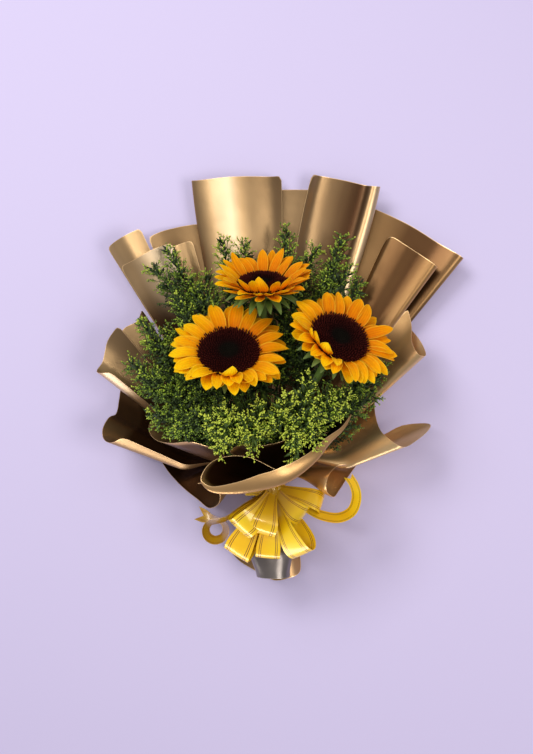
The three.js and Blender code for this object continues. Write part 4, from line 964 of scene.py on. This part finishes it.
for name, flower in FLOWERS.items():
    axes = flower_axes(flower)
    same, own = petal_draws(flower["seed"]), draws_for(flower["seed"], 7)
    parts = []
    rays = flower["rays"] * 3
    for k in range(rays):
        row = k % 3
        degrees = 360 * (k + 0.5) / rays + own.normal(0, 1.5)
        ahead = math.cos(math.radians(degrees - flower["front"]))
        facing, behind = max(0.0, ahead) ** 2, max(0.0, -ahead)
        length = flower["radius"] * (0.94 + 0.12 * next(same)) * (1.0, 1.0, 0.95)[row] - flower["disc"]
        length *= 1 + FAR_RAYS_LONGER * behind - NEAR_RAYS_SHORTER * facing
        lift = math.radians(flower["lift"] - ROW_TILT[row] + flower["curl"][row] * facing)
        droop = math.radians(flower["droop"]) * (0.7 + 0.6 * next(same))
        droop *= (1 - 0.8 * behind) * (1 - 0.5 * facing)
        tip = math.radians(FOLDED.get((name, k), 0))
        parts.append(petal(flower, degrees, row, length, lift, droop, own, tip))
    points, faces = plate(flower["disc"] * 0.92, BASE_TOP, BASE_TOP - BASE_THICK)
    parts.append((points, faces, {"along": 0.0, "side": 0.0, "tone": 0.2}))
    points, faces, values = join(parts)
    rays_piece = mesh_object(f"sunflower_{name}_petals", points @ axes + flower["head"], faces, RAY, values)
    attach(rays_piece, "root")
    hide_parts(f"sunflower_{name}_petals")


# ------------------------------------------------------------------ sunflower heads: discs
# A low dome with a sunken middle, packed with florets in spirals: velvet maroon ones open round
# the outside, and tight buds, nearly black, close the middle.
FLORETS, CORE_SIDES = 620, 72
BUD_LENGTH, FLORET_LENGTH = 1.9, 4.2  # in the middle and outside
DOME_HEIGHT, DOME_SUNK, SUNK_SHARE, RIM_HEIGHT = 6.5, 3.4, 0.42, 1.4
GOLDEN_ANGLE = math.pi * (3 - math.sqrt(5))
FLORET_BODY = [(0.0, (0.005, 0.005, 0.003)), (0.28, (0.004, 0.003, 0.002)), (0.42, (0.010, 0.002, 0.002)),
               (0.75, (0.014, 0.002, 0.002)), (1.0, (0.020, 0.003, 0.002))]
FLORET_ENDS = [(0.0, (0.011, 0.008, 0.006)), (0.3, (0.008, 0.005, 0.004)), (0.5, (0.050, 0.009, 0.007)),
               (1.0, (0.085, 0.012, 0.008))]
DISC, shader = new_material("florets")
where = field(shader, "ring")
body, ends = ramp(shader, where, FLORET_BODY), ramp(shader, where, FLORET_ENDS)
wire(shader, {"Base Color": blend(shader, field(shader, "tip"), body, ends), "Roughness": 0.8,
              "Specular IOR Level": 0.03, "Sheen Weight": 0.02, "Sheen Tint": (0.5, 0.2, 0.15, 1),
              "Normal": bump(shader, noise(shader, 900.0, 2.0), 0.5, 0.0004)})


def dome(share):
    """The disc's height from its middle to its rim, sunken in the middle."""
    height = DOME_HEIGHT * (1 - share ** 4 * 0.8) - DOME_SUNK * np.exp(-((share / SUNK_SHARE) ** 2))
    return np.maximum(height, RIM_HEIGHT)


def spindles(base, axis, length, radius, flat, broad, sides, belly, sunk):
    """Many closed spindles at once, from their base points, directions, lengths and radii; flat and
    broad are how flat they are and to which side, belly where they are widest, and sunk how much
    of them is below the base point. Also gives how many points each one has."""
    axis = axis / np.linalg.norm(axis, axis=1, keepdims=True)
    across = np.cross(axis, broad)
    across /= np.maximum(np.linalg.norm(across, axis=1, keepdims=True), 1e-6)
    other = np.cross(axis, across)
    length, radius = np.asarray(length)[:, None], np.asarray(radius)[:, None]
    rings = [base - axis * length * sunk]
    for k in range(sides):
        turn = 2 * math.pi * k / sides
        rings.append(base + axis * length * belly + across * radius * math.cos(turn)
                     + other * radius * flat * math.sin(turn))
    rings.append(base + axis * length)
    points = np.stack(rings, 1)
    count, each = len(base), sides + 2
    first = (np.arange(count) * each)[:, None]
    pattern = []
    for k in range(sides):
        a, b = 1 + k, 1 + (k + 1) % sides
        pattern += [[0, b, a], [each - 1, a, b]]
    faces = (first[:, :, None] + np.array(pattern)[None]).reshape(-1, 3)
    return points.reshape(-1, 3), faces.tolist(), each


shares = np.array([1.0, 1.02, 0.99, *np.linspace(0.94, 0.06, 18)])
heights = np.array([0.0, 0.7, 1.5, *dome(shares[3:])])
angle = np.linspace(0, 2 * math.pi, CORE_SIDES, endpoint=False)
for name, flower in FLOWERS.items():
    axes = flower_axes(flower)
    radius = flower["disc"]
    draw = draws_for(flower["seed"], 11)
    rings = np.stack([radius * shares[:, None] * np.cos(angle), radius * shares[:, None] * np.sin(angle),
                      np.broadcast_to(heights[:, None], (len(shares), CORE_SIDES))], 2)
    core = (rings.reshape(-1, 3), ring_faces(len(shares), CORE_SIDES, caps=True),
            {"ring": np.repeat(shares, CORE_SIDES), "tip": 0.0})
    count = np.arange(FLORETS)
    share = np.sqrt((count + 0.5) / FLORETS)
    turn = count * GOLDEN_ANGLE
    base = np.stack([radius * share * np.cos(turn), radius * share * np.sin(turn), dome(share) - 0.3], 1)
    outward = np.stack([np.cos(turn), np.sin(turn), 0 * turn], 1)
    lean = mix(-0.25, 0.15, smooth(share, 0.25, 0.45)) + 0.75 * smooth(share, 0.72, 1.0)
    axis = outward * lean[:, None] + draw.normal(0, 0.10, (FLORETS, 3))
    axis[:, 2] += 1
    length = mix(BUD_LENGTH, FLORET_LENGTH, smooth(share, 0.3, 0.5)) * mix(1.0, 1.15, smooth(share, 0.9, 1.0))
    length = length * (0.65 + 0.7 * draw.random(FLORETS))
    points, faces, each = spindles(base, axis, length, mix(0.62, 0.95, share), 1.0, outward, 5, 0.62, 0.2)
    tip = np.tile([0.0] + [0.45] * 5 + [1.0], FLORETS)
    florets = (points, faces, {"ring": np.repeat(share, each), "tip": tip})
    points, faces, values = join([core, florets])
    disc_piece = mesh_object(f"sunflower_{name}_disc", points @ axes + flower["head"], faces, DISC, values)
    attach(disc_piece, "root")
    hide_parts(f"sunflower_{name}_disc")


# ------------------------------------------------------------------ sunflower stems
# Each head sits in a green cup with two rows of pointed bracts, on a ribbed, rough stem that
# runs down through the tie to its cut end inside the silver wrap.
STEM_RADIUS, STEM_END, STEM_SIDES = 4.5, -50.0, 18
CUP_TOP = BASE_TOP - BASE_THICK - SEAT_GAP
BRACTS, BRACT_ROWS, BRACT_COLUMNS, BRACT_THICK = 11, 9, 5, 0.6


def green_material(name, stops, roughness, scale):
    """Plant green from a tone value at the points, mottled and finely bumped."""
    material, shader = new_material(name)
    tone = reckon(shader, "MULTIPLY_ADD", noise(shader, scale, 3.0), 0.35, field(shader, "tone"))
    wire(shader, {"Base Color": ramp(shader, tone, stops), "Roughness": roughness,
                  "Normal": bump(shader, noise(shader, scale * 5, 3.0), 0.3, 0.0006)})
    return material


STEM_GREEN = green_material("sunflower_green", [
    (0.0, (0.045, 0.075, 0.012)), (0.35, (0.085, 0.15, 0.022)), (0.75, (0.17, 0.25, 0.045)),
    (1.0, (0.42, 0.44, 0.22))], 0.55, 160.0)


def tube(path, radii, sides, ribs=0.0):
    """A closed tube along a path; ribs is how far every other side stands out."""
    path = np.asarray(path, float)
    along = np.gradient(path, axis=0)
    along /= np.linalg.norm(along, axis=1, keepdims=True)
    across = np.cross([0, 0, 1], along)
    across /= np.linalg.norm(across, axis=1, keepdims=True)
    up = np.cross(along, across)
    angle = np.linspace(0, 2 * math.pi, sides, endpoint=False)
    radius = np.asarray(radii)[:, None] * (1 + ribs * (np.arange(sides) % 2))[None, :]
    rings = (path[:, None, :] + across[:, None, :] * (radius * np.cos(angle))[..., None]
             + up[:, None, :] * (radius * np.sin(angle))[..., None])
    return rings.reshape(-1, 3), ring_faces(len(path), sides, caps=True)


def bract(flower, turn, low, length, wide, curl, draw):
    """One pointed green bract of the calyx, in the flower's own axes."""
    share = np.linspace(0, 1, BRACT_ROWS)
    over = np.linspace(-1, 1, BRACT_COLUMNS)
    slope = np.radians(mix(28, curl, share ** 0.6) + draw.normal(0, 4))
    reach, rise = bent_line(flower["disc"] * 0.66, low, length / (BRACT_ROWS - 1), slope)
    width = wide * (1 - share ** 1.7) ** 0.8 + 0.5
    out = np.array([math.cos(turn), math.sin(turn), 0])
    side = np.array([-math.sin(turn), math.cos(turn), 0])
    face = -out * np.sin(slope)[:, None] + np.array([0, 0, 1.0]) * np.cos(slope)[:, None]
    grid = (out * reach[:, None])[:, None, :] + np.array([0, 0, 1.0]) * rise[:, None, None]
    grid = grid + side * (over[None, :] * width[:, None] / 2)[..., None]
    grid = grid + face[:, None, :] * (0.18 * width[:, None] * (over ** 2)[None, :])[..., None]
    points, faces = two_sided(grid, BRACT_THICK)
    tone = mix(0.06, 0.30, share) + draw.normal(0, 0.05)
    return points, faces, {"tone": np.tile(np.repeat(tone, BRACT_COLUMNS), 2)}


# The cup's outline, as shares of the disc's radius and as heights below its top.
CUP = np.array([(0.02, 0.0), (0.5, 0.0), (0.8, 0.0), (0.86, -1.0), (0.83, -3.2), (0.72, -6.6),
                (0.52, -10.4), (0.34, -13.4), (0.22, -15.0), (0.1, -15.6), (0.02, -15.6)])
CUP_SIDES, CUP_RIBS, CUP_RIB_DEEP = 44, 22, 0.025
CUP_MEETS_STEM, STEM_STRAIGHT = 12.0, 42.0  # below the cup's top
STEM_SLIMMER, STEM_FLARE, FLARE_STEPS = 0.93, 1.35, 8  # of the radius, along it and at the cup
BRACT_RINGS = ((-4.6, 28, 11, -34), (-8.2, 25, 10, -30))  # start, length, width, slope at the tip

for name, flower in FLOWERS.items():
    axes = flower_axes(flower)
    head = np.array(flower["head"], float)
    draw = draws_for(flower["seed"], 17)
    angle = np.linspace(0, 2 * math.pi, CUP_SIDES, endpoint=False)
    ring = flower["disc"] * CUP[:, :1] * (1 + CUP_RIB_DEEP * np.cos(CUP_RIBS * angle))
    rings = np.stack([ring * np.cos(angle), ring * np.sin(angle),
                      np.broadcast_to(CUP_TOP + CUP[:, 1:], ring.shape)], 2)
    faces = ring_faces(len(CUP), CUP_SIDES, caps=True)
    parts = [(rings.reshape(-1, 3) @ axes + head, faces, {"tone": 0.25})]
    for row, (low, length, wide, curl) in enumerate(BRACT_RINGS):
        for k in range(BRACTS):
            turn = 2 * math.pi * (k + 0.5 * row + 0.12 * draw.random()) / BRACTS
            points, faces, values = bract(flower, turn, CUP_TOP + low, length, wide, curl, draw)
            parts.append((points @ axes + head, faces, values))
    back = np.array([0, 0, CUP_TOP - CUP_MEETS_STEM]) @ axes + head
    throat = np.array([0, 0, CUP_TOP - STEM_STRAIGHT]) @ axes + head
    x, z = flower["slot"]
    bend = np.array([x, NECK_END + 6, z])
    curve = through([bend, mix(bend, throat, 0.45) + [0, 0, -6], throat, back], 34)
    path = np.concatenate([np.linspace([x, STEM_END, z], bend, 14)[:-1], curve])
    flare = np.linspace(STEM_SLIMMER, STEM_FLARE, FLARE_STEPS)
    radii = STEM_RADIUS * np.concatenate([np.full(len(path) - FLARE_STEPS, STEM_SLIMMER), flare])
    points, faces = tube(path, radii, STEM_SIDES, ribs=0.035)
    tone = np.repeat(np.where(np.arange(len(path)) == 0, 0.9, 0.2), STEM_SIDES)
    parts.append((points, faces, {"tone": tone}))
    points, faces, values = join(parts)
    stem_piece = mesh_object(f"sunflower_{name}_stem", points, faces, STEM_GREEN, values)
    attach(stem_piece, "root")
    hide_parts(f"sunflower_{name}_stem")


# ------------------------------------------------------------------ goldenrod
# Feathery sprigs fill the gaps round the heads. Each has a thin stem with two plumes, and every
# plume carries small twigs set all round with tiny buds and narrow leaves, yellow-green, with
# painted light on those at the front and painted shade on those behind and in the gaps. Twigs and
# buds that would pass through a sheet or a ray are left off.
SPRIG_RADIUS, SPRIG_CIRCLE = 1.7, 11.2
MIDDLE_HEIGHT, HEIGHT_COUNTS, FIRST_SLOT = 92, 2.2, 0.2  # for the order of the sprigs round the tie
MAIN_STEPS, FORK, FILL_FROM = 60, 0.45, 0.22  # where on the main stalk the others leave it
SPRIGS = {  # where its two plumes end, and how far its stalk is arched upward and back
    "left_top": ((-112, 299, 66), (-128, 274, 72), 10, 4),
    "left_high": ((-100, 238, 88), (-68, 266, 76), 12, 4),
    "left_upper": ((-142, 212, 84), (-130, 190, 88), 14, 4),
    "left_middle": ((-154, 166, 84), (-136, 143, 88), 16, 4),
    "left_lower": ((-128, 108, 96), (-108, 132, 98), 10, 6),
    "front_left": ((-98, 90, 118), (-76, 108, 122), 10, 18),
    "front_inner_left": ((-50, 72, 142), (-60, 102, 134), 8, 22),
    "front_middle": ((-14, 72, 146), (-24, 102, 146), 8, 24),
    "front_inner_right": ((34, 64, 146), (16, 106, 148), 8, 34),
    "front_right": ((56, 76, 142), (56, 110, 142), 8, 22),
    "right_lower": ((78, 110, 124), (88, 128, 122), 6, 10),
    "right_middle": ((122, 128, 100), (108, 148, 104), 8, 6),
    "right_top": ((90, 310, 60), (98, 274, 72), 8, 4),
    "top_right": ((26, 322, 50), (58, 298, 56), 6, 4),
    "top_left": ((-50, 308, 60), (-24, 302, 58), 6, 4),
}
# How much painted light a sprig has; those left out are painted dark, as in shade.
SPRIG_PAINTED_LIGHT = {"front_left": 0.05, "front_inner_left": 0.85, "front_middle": 1.0, "front_inner_right": 1.0,
          "front_right": 0.7, "right_lower": 0.45}
FILLING = {  # where each sprig's lower branches reach, between the heads, and their painted light, below zero painted shade
    "left_top": [(-84, 262, 78, 0)], "left_high": [(-58, 240, 84, 0), (-86, 230, 70, 0)],
    "left_upper": [(-112, 206, 80, 0)], "left_middle": [(-120, 160, 82, 0)],
    "left_lower": [(-78, 124, 92, 0)], "front_left": [(-52, 118, 104, -0.4)],
    "front_inner_left": [(-20, 128, 104, -0.4), (-46, 116, 136, 0.8)],
    "front_middle": [(8, 120, 112, -0.4), (-8, 116, 140, 0.9)],
    "front_inner_right": [(40, 128, 110, -0.4), (24, 128, 142, 1.0)],
    "front_right": [(72, 134, 104, -0.4), (50, 146, 134, 0.8)],
    "right_lower": [(104, 140, 96, -0.3)], "right_middle": [(136, 160, 84, 0)],
    "right_top": [(70, 266, 74, 0), (112, 262, 60, 0)],
    "top_right": [(40, 250, 78, 0), (20, 200, 84, 0)],
    "top_left": [(-28, 240, 84, 0), (10, 160, 96, 0)],
}
BRANCH_STEP, TWIG_STEP, BUD_STEP = 4.2, 4.6, 1.75
BRANCH_TURN, ROUND_TURN = 2.4, 6.28  # from one branch to the next, and all round, in radians
LEAVES_AT_BRANCH = 2
# Where on its stalk a plume starts, how wide it is, and how much narrower the one with most painted light is.
MAIN_PLUME, SIDE_PLUME = (0.34, 46, 14), (0.15, 34, 9)
BUD_SHAPE, LEAF_SHAPE = (0.26, 0.9), (0.13, 0.3)  # radius as a share of the length, and flatness
KEEP_OFF = 0.004  # metres that a twig stays away from the sheets, rays and discs ahead of it
GOLDENROD = green_material("goldenrod_green", [
    (0.0, (0.006, 0.014, 0.003)), (0.3, (0.026, 0.052, 0.008)), (0.55, (0.11, 0.19, 0.016)),
    (0.8, (0.33, 0.48, 0.028)), (1.0, (0.64, 0.75, 0.08))], 0.6, 90.0)

solid_points, solid_faces = [], []
for group in ("paper_", "sunflower_", "ribbon_", "handle_"):
    for key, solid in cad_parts.items():
        if key.startswith(group) and not key.endswith("_stem"):
            first = len(solid_points)
            solid_points += [v.co.copy() for v in solid.data.vertices]
            solid_faces += [[i + first for i in p.vertices] for p in solid.data.polygons]
OBSTACLES = BVHTree.FromPolygons(solid_points, solid_faces)


def free_run(start, end):
    """How much of the way from start to end is clear of the sheets, rays and discs."""
    a, b = (Vector(to_frame([p])[0]) for p in (start, end))
    way = b - a
    hit = OBSTACLES.ray_cast(a, way.normalized(), way.length + KEEP_OFF)
    return 1.0 if hit[0] is None else max(0.0, (hit[3] - KEEP_OFF) / way.length)


def is_clear(point, gap):
    """Whether nothing of the sheets, rays and discs is closer to a point than the gap."""
    return OBSTACLES.find_nearest(Vector(to_frame([point])[0]), gap * MM)[0] is None


def slot_of(name):
    """The place in the bunch that faces a sprig's tip."""
    order = sorted(SPRIGS, key=lambda key: math.atan2((SPRIGS[key][0][2] - MIDDLE_HEIGHT) * HEIGHT_COUNTS,
                                                      SPRIGS[key][0][0]))
    angle = 2 * math.pi * order.index(name) / len(order) - math.pi + FIRST_SLOT
    return SPRIG_CIRCLE * math.cos(angle), TIE_HEIGHT + SPRIG_CIRCLE * math.sin(angle)


def bend_of(root, end, rise, count):
    """Points on a twig from root to end, arched upwards in the middle."""
    return arch(root, mix(root, end, 0.5) + np.array([0, 0, rise]), end, np.linspace(0, 1, count)[:, None])


def turned_out(side, up, spin):
    """The direction at an angle round a stalk."""
    return side * math.cos(spin) + up * math.sin(spin)


def set_with_buds(twig, tone, draw, buds):
    """Buds all along a twig, pointing forward and outward."""
    heading = twig[-1] - twig[0]
    size = np.linalg.norm(heading)
    heading = heading / size
    side = np.cross([0, 0, 1.0], heading)
    side /= max(np.linalg.norm(side), 1e-6)
    up = np.cross(heading, side)
    arched = (twig[1] - mix(twig[0], twig[-1], 0.5))[2]
    count = max(3, int(size / BUD_STEP))
    for j in range(count):
        s = (j + 1.0) / count
        base = mix(twig[0], twig[-1], s) + np.array([0, 0, arched * 4 * s * (1 - s)])
        aim = heading * 0.8 + turned_out(side, up, draw.random() * ROUND_TURN) * 0.8
        aim /= np.linalg.norm(aim)
        if is_clear(base + aim * 3.2, 1.2):
            buds.append((base, aim, mix(4.2, 3.0, s) * (0.7 + 0.6 * draw.random()),
                         tone + 0.28 * s + draw.normal(0, 0.1)))


def plume(curve, start, painted_light, wide, draw, stalks, buds, leaves):
    """Branches all round a stalk, each set with short twigs of buds; adds to the lists given."""
    run = run_along(curve)
    spin = draw.random() * ROUND_TURN
    for where in np.arange(start * run[-1], run[-1], BRANCH_STEP):
        k = int(np.clip(np.searchsorted(run, where), 1, len(run) - 1))
        root = mix(curve[k - 1], curve[k], (where - run[k - 1]) / max(run[k] - run[k - 1], 1e-6))
        along = (curve[k] - curve[k - 1]) / np.linalg.norm(curve[k] - curve[k - 1])
        share = max(0.0, (where / run[-1] - start) / (1 - start))
        spin += BRANCH_TURN
        side = np.cross([0, 0, 1.0], along)
        side /= np.linalg.norm(side)
        up = np.cross(along, side)
        outward = side * math.cos(spin) + up * (0.25 + 0.65 * math.sin(spin))
        outward /= np.linalg.norm(outward)
        reach = mix(wide, 10, share ** 1.3) * (0.75 + 0.5 * draw.random())
        lean = mix(0.95, 0.45, share)
        end = root + (along * math.cos(lean) + outward * math.sin(lean)) * reach
        end = end + np.array([0, -3.0, -5.0]) * painted_light * reach / 40
        end = mix(root, end, free_run(root, end))
        size = np.linalg.norm(end - root)
        if size < 5:
            continue
        branch = bend_of(root, end, 0.08 * size, 7)
        stalks.append((branch, np.linspace(0.6, 0.28, 7)))
        heading = (end - root) / size
        # Painted light: twigs, buds and leaves are painted lighter towards the plume's end and on sprigs with
        # painted light; dark fillers carry painted shade.
        lit = smooth(share, 0.1 - 0.1 * painted_light, 0.9 - 0.4 * painted_light)
        tone = -0.05 + 0.12 * painted_light + (0.34 + 0.42 * painted_light) * lit
        tone += draw.normal(0, 0.07)
        for j in range(int(size / TWIG_STEP)):
            s = (j + 0.7) * TWIG_STEP / size
            at = mix(branch[int(s * 6)], branch[min(int(s * 6) + 1, 6)], s * 6 - int(s * 6))
            aim = heading * 0.75 + turned_out(side, up, BRANCH_TURN * j + spin) * 0.85
            aim /= np.linalg.norm(aim)
            tip_at = at + aim * mix(13, 6, s) * (0.7 + 0.6 * draw.random())
            if free_run(at, tip_at) < 1.0:
                continue
            twig = bend_of(at, tip_at, 0.6, 3)
            stalks.append((twig, np.linspace(0.32, 0.2, 3)))
            set_with_buds(twig, tone + 0.10 * s, draw, buds)
        set_with_buds(branch[4:], tone + 0.12, draw, buds)
        for _ in range(LEAVES_AT_BRANCH):
            aim = along * 0.7 - outward * draw.random() + up * 0.3 + draw.normal(0, 0.3, 3)
            aim /= np.linalg.norm(aim)
            long = mix(26, 12, share) * (0.7 + 0.5 * draw.random())
            if free_run(root, root + aim * long) == 1.0:
                leaves.append((root, aim, long, 0.05 + 0.16 * painted_light + draw.normal(0, 0.05)))


for number, (name, (tip, second, arched, back)) in enumerate(SPRIGS.items()):
    draw = draws_for(number, 31)
    x, z = slot_of(name)
    bend = np.array([x, NECK_END + 4, z])
    tip, second = np.array(tip, float), np.array(second, float)
    main = through([bend, mix(bend, tip, 0.5) + [0, back, arched / 2],
                    mix(bend, tip, 0.84) + [0, back, arched], tip], MAIN_STEPS)
    fork = main[int(round(FORK * MAIN_STEPS))]
    low = main[int(round(FILL_FROM * MAIN_STEPS))]
    side = through([fork, mix(fork, second, 0.6) + [0, 3, arched / 3], second], 24)
    painted_light = SPRIG_PAINTED_LIGHT.get(name, 0.0)
    stalks, buds, leaves = [], [], []
    for stalk, (start, wide, less) in ((main, MAIN_PLUME), (side, SIDE_PLUME)):
        plume(stalk, start, painted_light, wide - less * painted_light, draw, stalks, buds, leaves)
    for *aim, lit in FILLING[name]:
        filler = through([low, mix(low, aim, 0.55) + [0, 0, 6], aim], 24)
        filler = filler[:max(6, int(25 * free_run(low, aim)))]
        stalks.append((filler, np.linspace(0.9, 0.4, len(filler))))
        plume(filler, 0.45 if lit > 0 else 0.2, lit, 24 if lit > 0 else 30, draw, stalks, buds, leaves)
    whole = np.concatenate([np.linspace([x, STEM_END, z], bend, 6)[:-1], main])
    # Stalks are painted lighter on sprigs with painted light.
    stem_tone, twig_tone = 0.12 + 0.15 * painted_light, 0.15 + 0.2 * painted_light
    lines = [(whole, np.linspace(SPRIG_RADIUS, 0.5, len(whole)), 7, stem_tone),
             (side, np.linspace(1.0, 0.4, len(side)), 6, stem_tone)]
    lines += [(twig, radii, 3, twig_tone) for twig, radii in stalks]
    parts = []
    for line, radii, sides, tone in lines:
        points, faces = tube(line, radii, sides)
        parts.append((points, faces, {"tone": tone}))
    for group, (wide, flat) in ((buds, BUD_SHAPE), (leaves, LEAF_SHAPE)):
        if group:
            base, aim, long, tone = (np.array(v) for v in zip(*group))
            broad = np.tile([0.0, 0.0, 1.0], (len(base), 1)) + draw.normal(0, 0.4, (len(base), 3))
            points, faces, each = spindles(base, aim, long, long * wide, flat, broad, 4, 0.55, 0.08)
            parts.append((points, faces, {"tone": np.repeat(tone, each)}))
    points, faces, values = join(parts)
    sprig = mesh_object(f"goldenrod_{name}", points, faces, GOLDENROD, values, sharp=0)
    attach(sprig, "root")
    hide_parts(f"goldenrod_{name}")
